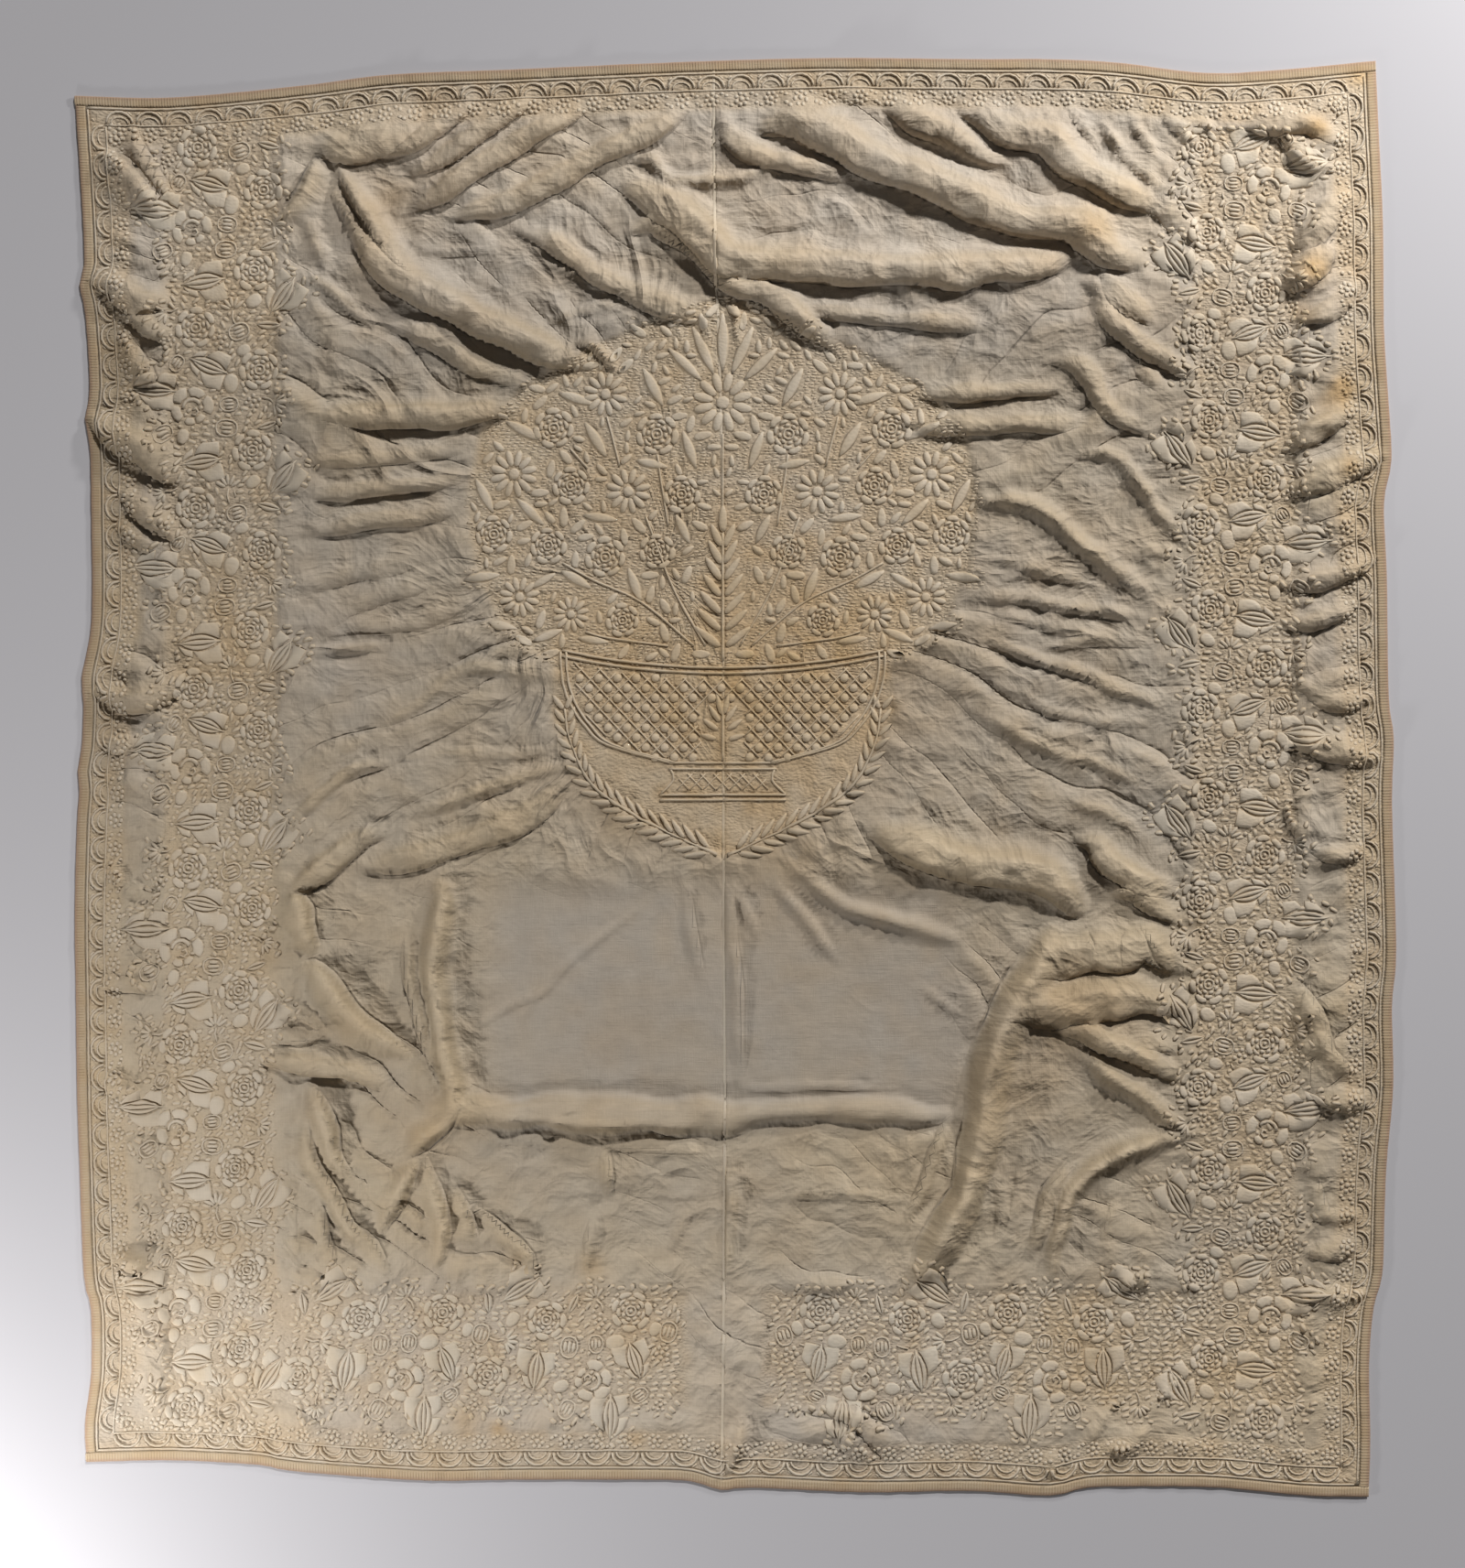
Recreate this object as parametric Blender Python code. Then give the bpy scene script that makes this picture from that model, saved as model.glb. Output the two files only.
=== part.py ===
# Whitework counterpane lying open on a flat floor.
# Two widths of cloth lie side by side along a middle seam, with a narrow tape round the edge.
# Sizes in the tables are centimetres, read off the picture at 1.6 mm to its pixel.
# X runs to the right, Y to the top edge and Z up; the underside lies at Z = 0.

import math

import bmesh
import bpy
import numpy as np
from mathutils import Vector
from mathutils.geometry import delaunay_2d_cdt

CM = 0.01
CLOTH_THICK = 0.24
TAPE_THICK = 0.30
TAPE_WIDTH = 1.8
GAP = 0.03
SIDE_STEP = 4.2
FOLD_STEP = 3.6
FIELD_STEP = 9.5
LEAST_APART = 1.15
END_SHARE = 0.3
BLEND = 3.0

# One row for each place on an edge: x, y
TOP_EDGE = (
    (-115.4, 119.1), (-98.4, 118.8), (-75.5, 120.9), (-60.2, 122.8), (-38.9, 123.7),
    (-23.5, 124.4), (-3.8, 125.2), (17.3, 125.7), (41.1, 125.5), (54.4, 125.5),
    (66.6, 124.9), (81.9, 123.1), (94.7, 123.6), (111.8, 125.2),
)
RIGHT_EDGE = (
    (110.6, -125.7), (110.9, -115.5), (110.7, -102.7), (111.5, -92.6), (113.0, -86.8),
    (113.4, -75.9), (113.8, -66.8), (114.9, -54.0), (114.7, -39.8), (115.43, -30.0),
    (114.7, -4.9), (115.0, 6.8), (114.1, 14.5), (113.8, 34.9), (113.3, 47.9),
    (114.6, 55.4), (114.1, 65.5), (113.3, 78.5), (113.1, 96.9), (112.3, 114.1),
    (111.8, 125.2),
)
BOTTOM_EDGE = (
    (-113.3, -119.6), (-98.4, -119.3), (-83.2, -120.1), (-77.1, -121.2), (-55.0, -122.8),
    (-38.9, -122.7), (-13.4, -122.7), (-7.2, -123.1), (-2.4, -124.5), (2.9, -124.1),
    (22.4, -124.9), (41.1, -124.7), (54.9, -125.5), (61.6, -124.1), (71.7, -123.9),
    (84.5, -124.1), (99.8, -125.5), (110.6, -125.7),
)
LEFT_EDGE = (
    (-113.3, -119.6), (-113.6, -112.9), (-112.5, -103.8), (-112.6, -92.6), (-113.8, -87.0),
    (-114.6, -66.8), (-115.0, -54.0), (-115.2, -38.7), (-115.4, -23.5), (-115.0, -8.1),
    (-114.6, -2.3), (-114.9, 1.2), (-114.2, 5.3), (-113.9, 13.0), (-114.2, 17.5),
    (-112.5, 27.3), (-112.5, 45.0), (-112.8, 57.8), (-113.6, 62.6), (-112.8, 68.2),
    (-113.6, 81.0), (-114.6, 86.1), (-113.8, 89.7), (-114.1, 98.9), (-115.4, 119.1),
)
SEAM = ((-3.8, 125.2), (-3.7, 99.0), (-2.7, 69.0), (-2.2, 40.0), (-2.1, -8.0), (-1.9, -72.0), (-2.4, -124.5))

# One row for each fold: half width, height, steep side, places along its crest
FOLDS = (
    # Upper left
    (2.2, 2.2, "", (-72.8, 111.2), (-65.3, 113.3), (-57.3, 114.7)),
    (2.0, 1.8, "", (-72.7, 109.2), (-75.5, 101.0), (-80.6, 96.5)),
    (2.2, 3.0, "lower", (-68.5, 104.6), (-61.3, 92.3), (-51.7, 84.0), (-38.9, 77.3), (-26.1, 72.0)),
    (2.0, 1.8, "", (-62.2, 78.1), (-55.2, 79.0), (-47.5, 72.5), (-38.9, 69.9)),
    (2.4, 1.8, "", (-61.3, 107.2), (-50.1, 110.4), (-38.9, 113.3), (-28.7, 116.3)),
    (2.0, 1.6, "", (-55.2, 99.0), (-45.3, 104.6), (-34.1, 110.4), (-24.5, 115.2)),
    (2.2, 2.0, "", (-51.7, 96.8), (-38.9, 102.6), (-23.5, 109.1), (-8.3, 117.3)),
    (2.0, 2.6, "lower", (-73.3, 62.4), (-69.0, 63.8), (-54.9, 63.7), (-38.9, 64.6)),
    # Upper middle
    (1.8, 1.8, "", (-23.0, 108.5), (-14.9, 107.7), (-10.9, 103.5), (-3.2, 103.5), (8.6, 105.6)),
    (2.0, 2.0, "", (-2.1, 116.3), (-0.2, 111.7), (9.6, 107.7), (21.3, 104.6)),
    (2.8, 3.4, "lower", (3.5, 113.3), (12.2, 114.9), (25.0, 109.1), (41.1, 101.8), (51.4, 97.9),
     (60.5, 97.0), (65.6, 92.8), (71.7, 88.8)),
    (2.0, 2.2, "", (22.9, 117.3), (32.5, 113.8), (41.1, 110.7), (49.1, 107.8)),
    (2.2, 2.8, "lower", (36.2, 117.9), (51.4, 113.8), (59.0, 107.7), (65.6, 102.6), (71.7, 99.0), (77.9, 97.4)),
    (2.6, 3.4, "lower", (-20.0, 103.5), (-8.3, 99.5), (-3.2, 93.9), (1.9, 90.9), (22.4, 89.8),
     (41.1, 89.6), (58.4, 91.2)),
    (1.8, 2.4, "lower", (-19.5, 94.4), (-14.4, 97.0), (-8.3, 93.9), (-0.2, 87.2), (7.0, 84.6), (18.2, 73.9)),
    (1.6, 1.6, "", (8.6, 83.7), (21.9, 82.7), (34.1, 80.6), (49.0, 79.0)),
    (1.8, 2.0, "", (-38.9, 97.0), (-31.2, 93.9), (-23.5, 88.3), (-13.4, 84.2), (-3.7, 80.7)),
    # Upper right
    (1.8, 2.0, "lower", (64.6, 89.3), (67.7, 84.6), (73.8, 78.6)),
    (1.8, 2.4, "lower", (60.0, 86.2), (64.6, 85.3), (66.6, 80.6), (71.7, 76.0), (81.0, 69.4)),
    (1.8, 2.0, "lower", (53.9, 73.9), (60.5, 72.0), (65.6, 65.3), (73.8, 58.7)),
    (1.4, 2.0, "lower", (31.5, 66.9), (41.1, 67.7), (57.9, 68.3)),
    (1.6, 2.0, "lower", (29.0, 62.2), (41.1, 61.8), (57.4, 62.8), (62.6, 61.8)),
    (1.6, 1.6, "", (53.5, 116.4), (63.0, 110.2), (69.1, 106.2)),
    (1.4, 1.6, "", (70.0, 116.0), (77.0, 112.4), (84.0, 110.0)),
    (2.0, 1.4, "", (96.2, 85.8), (102.9, 92.8), (107.4, 97.9)),
    # Right middle
    (2.2, 2.2, "", (41.1, 49.3), (51.4, 47.7), (57.9, 43.2), (64.0, 37.6), (72.8, 30.9)),
    (1.8, 1.8, "", (57.4, 56.5), (66.6, 55.4), (73.8, 45.2), (77.9, 42.1)),
    (1.4, 1.6, "", (41.1, 39.0), (59.0, 35.0), (63.5, 33.6)),
    (1.4, 1.6, "", (41.1, 32.0), (57.1, 30.4), (73.8, 27.8)),
    (1.6, 1.8, "", (41.1, 24.8), (59.0, 18.7), (75.8, 11.5)),
    (1.6, 1.4, "", (44.2, 17.6), (59.0, 10.6), (73.8, 9.0)),
    (1.8, 2.0, "", (41.1, 12.5), (53.9, 5.4), (65.6, 1.8), (72.8, -3.2)),
    (1.8, 1.8, "", (55.4, -3.8), (63.5, -5.8), (71.7, -9.9)),
    (2.0, 2.0, "lower", (97.3, 51.8), (103.5, 55.2), (111.8, 56.0)),
    (2.0, 1.8, "lower", (97.1, 11.2), (105.1, 8.0), (111.8, 7.2)),
    # Right lower
    (2.8, 3.6, "lower", (23.4, -9.0), (41.1, -13.8), (53.9, -16.0), (61.6, -23.8)),
    (2.0, 2.4, "lower", (58.4, -9.6), (63.5, -11.0), (67.7, -15.7), (77.8, -20.3)),
    (2.6, 3.4, "left", (22.7, -85.6), (32.3, -75.2), (39.5, -60.0), (44.6, -44.8), (49.3, -38.1),
     (52.3, -29.9), (56.5, -25.9)),
    (2.0, 2.4, "lower", (56.5, -25.9), (61.6, -27.2), (68.3, -28.0), (72.8, -26.4)),
    (1.8, 2.6, "lower", (50.5, -40.0), (54.9, -37.6), (66.6, -36.6), (75.8, -41.6)),
    (1.8, 2.2, "lower", (51.8, -42.4), (61.6, -46.7), (69.8, -51.8), (77.9, -57.0)),
    (1.8, 2.2, "lower", (57.4, -49.8), (69.8, -54.9), (78.9, -61.6)),
    (2.0, 2.4, "right", (78.9, -61.6), (67.7, -64.6), (60.0, -70.7), (57.0, -76.3), (54.9, -88.0)),
    # Lower middle
    (1.0, 1.2, "right", (-5.9, -16.2), (-1.8, -26.9), (0.3, -36.6), (0.8, -53.9)),
    (2.0, 1.8, "", (9.1, -14.1), (17.3, -21.3), (27.4, -24.8), (41.1, -29.4)),
    (2.2, 2.0, "", (-46.9, -56.0), (-38.9, -56.5), (-18.4, -57.0), (-5.2, -58.1)),
    (1.4, 1.6, "lower", (-46.1, -60.9), (-26.1, -61.9), (-3.2, -64.6)),
    (1.4, 1.6, "", (0.5, -59.5), (12.3, -59.5), (24.8, -59.5)),
    (1.6, 1.4, "", (-2.1, -64.6), (-0.5, -75.2), (-1.1, -88.0)),
    # Left lower
    (2.2, 1.8, "", (-63.8, 7.7), (-55.0, 13.1), (-45.0, 19.2), (-29.3, 17.3)),
    (2.0, 2.0, "", (-78.1, -10.9), (-75.5, -5.8), (-65.9, 1.3), (-58.1, 2.4)),
    (2.0, 2.4, "lower", (-78.6, -21.1), (-73.3, -16.0), (-66.9, -10.9), (-60.5, -8.8)),
    (2.2, 2.2, "lower", (-66.4, -16.0), (-59.7, -13.6), (-52.5, -12.0), (-38.9, -6.9), (-29.3, 0.0)),
    (1.8, 1.8, "", (-57.7, -6.8), (-38.9, -0.2), (-27.0, 3.0)),
    (1.8, 2.4, "right", (-51.0, -18.2), (-52.0, -33.4), (-50.6, -43.7), (-49.0, -56.5)),
    (1.8, 2.0, "", (-48.5, -59.0), (-51.0, -68.2), (-49.5, -79.0)),
    (1.8, 2.0, "right", (-78.1, -22.2), (-73.9, -24.8), (-70.9, -32.0)),
    (2.0, 2.2, "lower", (-78.6, -34.1), (-70.9, -34.1), (-64.8, -37.6), (-58.1, -40.6)),
    (1.6, 2.2, "lower", (-67.8, -41.1), (-61.8, -45.8), (-54.1, -48.3)),
    (1.6, 2.2, "lower", (-83.2, -49.8), (-75.5, -48.8), (-67.8, -50.4), (-60.2, -53.0)),
    (1.6, 2.4, "left", (-73.9, -53.0), (-69.0, -57.9), (-66.2, -65.1), (-65.3, -71.2)),
    (1.4, 1.6, "", (-70.4, -69.8), (-67.8, -80.5), (-65.3, -83.2)),
    # Left middle
    (1.4, 1.6, "lower", (-75.5, 55.4), (-61.3, 56.5), (-46.4, 57.9)),
    (1.4, 1.8, "lower", (-75.5, 49.8), (-60.5, 51.5), (-45.9, 52.8)),
    (1.6, 1.6, "lower", (-75.0, 43.7), (-62.1, 45.6), (-48.5, 47.2)),
    # Left strip
    (2.2, 1.6, "", (-111.2, 111.2), (-105.3, 104.0), (-100.0, 96.5)),
    (1.8, 2.0, "lower", (-111.8, 88.0), (-109.3, 86.7), (-103.5, 84.6)),
    (1.8, 2.2, "lower", (-111.3, 62.4), (-103.7, 59.0), (-96.5, 52.3)),
    (1.4, 1.8, "lower", (-111.5, 14.1), (-103.5, 13.6), (-96.8, 15.7)),
    # Bottom strip
    (1.6, 1.8, "", (-1.8, -121.5), (0.0, -116.8), (1.4, -111.4)),
    (2.0, 1.8, "", (64.0, -117.0), (69.8, -116.3), (71.7, -112.3)),
)
STEEP = {"": (0.0, 0.0), "lower": (0.0, -1.0), "left": (-1.0, 0.0), "right": (1.0, 0.0)}


def flowing(points, step):
    """Places every step or so along a smooth line through the points."""
    p = np.array(points, float)
    p = np.vstack([2 * p[0] - p[1], p, 2 * p[-1] - p[-2]])
    out = []
    for a, b, c, d in zip(p[:-3], p[1:-2], p[2:-1], p[3:]):
        count = max(1, round(math.dist(b, c) / step))
        for t in np.arange(count) / count:
            out.append(0.5 * (2 * b + (c - a) * t + (2 * a - 5 * b + 4 * c - d) * t * t
                              + (3 * b - a - 3 * c + d) * t ** 3))
    out.append(p[-2])
    return np.array(out)


def fold_height(places, fold):
    """How high one fold lifts the cloth at each place."""
    half, height, steep, *crest = fold
    line = flowing(crest, 2.0)
    reach = np.zeros(len(line))
    reach[1:] = np.cumsum(np.linalg.norm(np.diff(line, axis=0), axis=1))
    nearest = np.full(len(places), 1e9)
    lift = np.zeros(len(places))
    for i, (a, b) in enumerate(zip(line[:-1], line[1:])):
        along = b - a
        share = np.clip((places - a) @ along / (along @ along), 0.0, 1.0)
        off = places - a - share[:, None] * along
        far = np.linalg.norm(off, axis=1)
        lean = off @ np.array(STEEP[steep]) / np.maximum(far, 1e-9)
        wide = half * (1.0 - 0.45 * np.maximum(lean, 0.0))
        went = reach[i] + share * (reach[i + 1] - reach[i])
        end = np.minimum(went, reach[-1] - went) / (0.3 * reach[-1])
        rise = END_SHARE + (1.0 - END_SHARE) * np.sin(0.5 * math.pi * np.clip(end, 0.0, 1.0))
        here = height * rise * 0.5 * (1.0 + np.cos(math.pi * np.clip(far / wide, 0.0, 1.0)))
        better = far < nearest
        nearest[better] = far[better]
        lift[better] = here[better]
    return lift


def heights(places):
    """Height of the underside at each place; folds that meet run into one another."""
    places = np.atleast_2d(np.array(places, float))
    total = np.zeros(len(places))
    for fold in FOLDS:
        total += fold_height(places, fold) ** BLEND
    return np.where(total > 1e-9, total ** (1.0 / BLEND), 0.0)


def facing(places):
    """Unit upward normals of the cloth at each place."""
    places = np.atleast_2d(np.array(places, float))
    d = 0.2
    dx = (heights(places + (d, 0)) - heights(places - (d, 0))) / (2 * d)
    dy = (heights(places + (0, d)) - heights(places - (0, d))) / (2 * d)
    up = np.stack([-dx, -dy, np.ones(len(places))], axis=1)
    return up / np.linalg.norm(up, axis=1)[:, None]


def along_line(line, share):
    """The place at this share of the way along a line."""
    steps = np.linalg.norm(np.diff(line, axis=0), axis=1)
    went = np.concatenate([[0.0], np.cumsum(steps)]) / steps.sum()
    return np.array([np.interp(share, went, line[:, 0]), np.interp(share, went, line[:, 1])])


TOP = flowing(TOP_EDGE, 2.0)
RIGHT = flowing(RIGHT_EDGE, 2.0)
BOTTOM = flowing(BOTTOM_EDGE, 2.0)
LEFT = flowing(LEFT_EDGE, 2.0)


def in_outline(across, up):
    """The place at these shares of the way across and up inside the four edges."""
    low = along_line(BOTTOM, across)
    high = along_line(TOP, across)
    left = along_line(LEFT, up)
    right = along_line(RIGHT, up)
    corners = ((1 - across) * ((1 - up) * LEFT[0] + up * LEFT[-1])
               + across * ((1 - up) * RIGHT[0] + up * RIGHT[-1]))
    return (1 - up) * low + up * high + (1 - across) * left + across * right - corners


ACROSS_TAPE = TAPE_WIDTH / 228.0
UP_TAPE = TAPE_WIDTH / 247.0


def shares(start, end):
    """Evenly spaced shares across and up, on a straight run over the outline."""
    start = np.array(start)
    end = np.array(end)
    length = math.dist(in_outline(*start), in_outline(*end))
    count = max(2, round(length / SIDE_STEP))
    return [tuple(start + (end - start) * i / count) for i in range(count + 1)]


def seam_places():
    """Places down the middle seam, from the top tape to the bottom tape."""
    line = flowing(SEAM, SIDE_STEP)
    top = in_outline(0.5, 1 - UP_TAPE)[1]
    bottom = in_outline(0.5, UP_TAPE)[1]
    inner = [p for p in line if bottom + 1.5 < p[1] < top - 1.5]
    first = np.array([np.interp(top, line[::-1, 1], line[::-1, 0]), top])
    last = np.array([np.interp(bottom, line[::-1, 1], line[::-1, 0]), bottom])
    return [first, *inner, last]


def unit(v):
    return v / np.linalg.norm(v)


def inward(loop, by):
    """The loop, which runs anticlockwise, with each place moved in from its two sides."""
    out = []
    for before, here, after in zip(loop[-1:] + loop[:-1], loop, loop[1:] + loop[:1]):
        one = unit(here - before)
        two = unit(after - here)
        one = np.array([-one[1], one[0]])
        two = np.array([-two[1], two[0]])
        out.append(here + by * (one + two) / (1.0 + one @ two))
    return out


def inside(places, loop):
    """Which places lie within the loop."""
    places = np.array(places)
    found = np.zeros(len(places), bool)
    for a, b in zip(loop, loop[1:] + loop[:1]):
        crosses = (a[1] > places[:, 1]) != (b[1] > places[:, 1])
        run = np.where(crosses, (places[:, 1] - a[1]) / np.where(a[1] == b[1], 1.0, b[1] - a[1]), 0.0)
        found ^= crosses & (places[:, 0] < a[0] + run * (b[0] - a[0]))
    return found


def wanted_places(loop):
    """Places inside the loop: crests, feet and shoulders of the folds, then an open grid."""
    rings = {0.0: [], 1.0: [], 0.5: []}
    for half, height, steep, *crest in FOLDS:
        line = flowing(crest, 1.2)
        length = np.linalg.norm(np.diff(line, axis=0), axis=1).sum()
        count = max(2, round(length / FOLD_STEP))
        for i in range(count + 1):
            here = along_line(line, i / count)
            way = along_line(line, min(1, i / count + 0.01)) - along_line(line, max(0, i / count - 0.01))
            way = way / np.linalg.norm(way)
            side = np.array([-way[1], way[0]])
            for turn in (-1, 1):
                lean = max(0.0, float(turn * side @ np.array(STEEP[steep])))
                wide = half * (1.0 - 0.45 * lean)
                rings[1.0].append(here + turn * wide * side)
                if height >= 1.7:
                    rings[0.5].append(here + turn * 0.5 * wide * side)
            rings[0.0].append(here)
    low = np.min(loop, axis=0)
    high = np.max(loop, axis=0)
    grid = [np.array([x, y]) for x in np.arange(low[0] + 4, high[0], FIELD_STEP)
            for y in np.arange(low[1] + 4, high[1], FIELD_STEP)]
    kept = [np.array(p) for p in loop]
    edge = len(kept)
    for group, apart in ((rings[0.0], 1.0), (rings[1.0], 1.0), (rings[0.5], 0.85), (grid, 3.2)):
        group = [p for p, good in zip(group, inside(group, loop)) if good]
        for p in group:
            near = np.array(kept) - p
            if (near * near).sum(axis=1).min() > (LEAST_APART * apart) ** 2:
                kept.append(p)
    return kept, edge


def solid_sheet(name, bm, sources, upright, thick, tint):
    """Lays an open flat mesh on the folds, extrudes it upward to a closed sheet and makes it an object.

    Sources are the places that set each vertex's height; upright marks the vertices with a plumb side.
    """
    low = heights(sources)
    low[low < 0.004] = 0.0
    up = facing(sources)
    up[(low == 0.0) | np.array(upright)] = (0.0, 0.0, 1.0)
    bm.verts.index_update()
    for v in bm.verts:
        v.co.z = low[v.index]
    lift = {tuple(v.co): Vector(thick * up[v.index]) for v in bm.verts}
    made = bmesh.ops.extrude_face_region(bm, geom=bm.faces[:])
    for part in made["geom"]:
        if isinstance(part, bmesh.types.BMVert):
            part.co += lift[tuple(part.co)]
    bmesh.ops.recalc_face_normals(bm, faces=bm.faces)
    bmesh.ops.scale(bm, vec=(CM, CM, CM), verts=bm.verts)
    mesh = bpy.data.meshes.new(name)
    bm.to_mesh(mesh)
    bm.free()
    material = bpy.data.materials.new(name)
    material.use_nodes = True
    shader = material.node_tree.nodes["Principled BSDF"]
    shader.inputs["Base Color"].default_value = (*tint, 1.0)
    shader.inputs["Roughness"].default_value = 0.9
    shader.inputs["Metallic"].default_value = 0.0
    mesh.materials.append(material)
    counterpane.objects.link(bpy.data.objects.new(name, mesh))


def width_of_cloth(name, loop, tint):
    """One width: its outline loop, pulled in by half the gap, filled with triangles that follow the folds."""
    sources, edge = wanted_places(loop)
    places = inward(sources[:edge], GAP / 2) + sources[edge:]
    ring = [(i, (i + 1) % edge) for i in range(edge)]
    flat, _, faces, origins, _, _ = delaunay_2d_cdt([Vector(p) for p in places], ring, [], 1, 1e-5)
    bm = bmesh.new()
    corners = [bm.verts.new((p[0], p[1], 0.0)) for p in flat]
    for face in faces:
        bm.faces.new([corners[i] for i in face])
    back = [origin[0] for origin in origins]
    solid_sheet(name, bm, [sources[i] for i in back], [i < edge for i in back], CLOTH_THICK, tint)


def tape(name, inner, outer, tint):
    """One length of edge tape between the cloth's edge and the outline, both listed the same way along."""
    last = len(inner) - 1
    bm = bmesh.new()
    bmesh.ops.create_grid(bm, x_segments=last, y_segments=1, size=1.0)
    sources = []
    for v in bm.verts:
        i = round((v.co.x + 1.0) / 2.0 * last)
        line = outer if v.co.y > 0.0 else inner
        place = np.array(line[i])
        sources.append(place)
        if line is inner:
            place = place + unit(outer[i] - inner[i]) * GAP / 2
        if i == 0:
            place = place + unit(line[1] - line[0]) * GAP / 2
        if i == last:
            place = place + unit(line[-2] - line[-1]) * GAP / 2
        v.co = (place[0], place[1], 0.0)
    bmesh.ops.triangulate(bm, faces=bm.faces)
    solid_sheet(name, bm, sources, [True] * len(sources), TAPE_THICK, tint)


for old in list(bpy.data.objects):
    bpy.data.objects.remove(old)
counterpane = bpy.data.collections.new("whitework_counterpane")
bpy.context.scene.collection.children.link(counterpane)

CLOTH_TINT = (0.62, 0.52, 0.36)
TAPE_TINT = (0.60, 0.45, 0.28)

seam = seam_places()


def placed(run):
    """The places at these shares across and up."""
    return [in_outline(*share) for share in run]


def share_across(place, up):
    """How far across the outline this place is, at one height up."""
    low, high = 0.0, 1.0
    for _ in range(40):
        middle = 0.5 * (low + high)
        if in_outline(middle, up)[0] < place[0]:
            low = middle
        else:
            high = middle
    return 0.5 * (low + high)


top_share = share_across(seam[0], 1 - UP_TAPE)
bottom_share = share_across(seam[-1], UP_TAPE)
seam[0] = in_outline(top_share, 1 - UP_TAPE)
seam[-1] = in_outline(bottom_share, UP_TAPE)
W = ACROSS_TAPE
H = UP_TAPE
west = shares((W, 1 - H), (W, H))
east = shares((1 - W, H), (1 - W, 1 - H))
south_west = shares((W, H), (bottom_share, H))
south_east = shares((bottom_share, H), (1 - W, H))
north_east = shares((1 - W, 1 - H), (top_share, 1 - H))
north_west = shares((top_share, 1 - H), (W, 1 - H))

left_loop = placed(west[:-1] + south_west[:-1]) + seam[::-1][:-1] + placed(north_west[:-1])
right_loop = seam[:-1] + placed(south_east[:-1] + east[:-1] + north_east[:-1])
width_of_cloth("left_width", left_loop, CLOTH_TINT)
width_of_cloth("right_width", right_loop, CLOTH_TINT)

top_run = [(0.0, 1 - H), *north_west[::-1], *north_east[::-1][1:], (1.0, 1 - H)]
bottom_run = [(0.0, H), *south_west, *south_east[1:], (1.0, H)]
tape("binding_top", placed(top_run), placed([(u, 1.0) for u, v in top_run]), TAPE_TINT)
tape("binding_bottom", placed(bottom_run), placed([(u, 0.0) for u, v in bottom_run]), TAPE_TINT)
tape("binding_left", placed(west), placed([(0.0, v) for u, v in west]), TAPE_TINT)
tape("binding_right", placed(east), placed([(1.0, v) for u, v in east]), TAPE_TINT)
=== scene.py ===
# Whitework counterpane: the cloth on its folds, with its stuffed and corded work, scallops and edge tape.
# Tables are in centimetres from the middle, x to the right and y up, read off the picture at 1.6 mm a pixel.
import math

import bmesh
import bpy
import numpy as np
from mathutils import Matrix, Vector


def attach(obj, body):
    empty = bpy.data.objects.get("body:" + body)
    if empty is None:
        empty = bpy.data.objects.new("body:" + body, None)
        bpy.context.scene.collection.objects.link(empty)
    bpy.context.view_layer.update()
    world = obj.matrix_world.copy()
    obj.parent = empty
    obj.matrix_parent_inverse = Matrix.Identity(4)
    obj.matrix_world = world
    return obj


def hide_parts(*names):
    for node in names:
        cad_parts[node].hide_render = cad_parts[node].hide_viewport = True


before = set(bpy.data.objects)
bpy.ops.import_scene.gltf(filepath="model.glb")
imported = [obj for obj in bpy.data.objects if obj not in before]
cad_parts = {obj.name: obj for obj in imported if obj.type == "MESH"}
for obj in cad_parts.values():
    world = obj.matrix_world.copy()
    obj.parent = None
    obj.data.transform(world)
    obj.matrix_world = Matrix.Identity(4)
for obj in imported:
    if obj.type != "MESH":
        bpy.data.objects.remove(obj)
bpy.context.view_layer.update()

CM = 0.01
TURN = 2 * math.pi
WIDE = 228
TALL = 247
CLOTH_THICK = 0.24
TAPE_THICK = 0.30
TAPE_WIDTH = 1.8
GAP = 0.03
FIELD_PITCH = 0.70
STRIP_PITCH = 1
BAND_PITCH = 1.4
TAPE_STEP = 0.165
ROLL_RISE = 1.35
ROLL_CREST = 0.70
SUNK = -0.06

# One row for each place on an edge: x, y
TOP_EDGE = (
    (-115.4, 119.1), (-98.4, 118.8), (-75.5, 120.9), (-60.2, 122.8), (-38.9, 123.7), (-23.5, 124.4),
    (-3.8, 125.2), (17.3, 125.7), (41.1, 125.5), (54.4, 125.5), (66.6, 124.9), (81.9, 123.1), (94.7, 123.6),
    (111.8, 125.2),
)
RIGHT_EDGE = (
    (110.6, -125.7), (110.9, -115.5), (110.7, -102.7), (111.5, -92.6), (113, -86.8), (113.4, -75.9),
    (113.8, -66.8), (114.9, -54), (114.7, -39.8), (115.43, -30), (114.7, -4.9), (115, 6.8), (114.1, 14.5),
    (113.8, 34.9), (113.3, 47.9), (114.6, 55.4), (114.1, 65.5), (113.3, 78.5), (113.1, 96.9),
    (112.3, 114.1), (111.8, 125.2),
)
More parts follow.
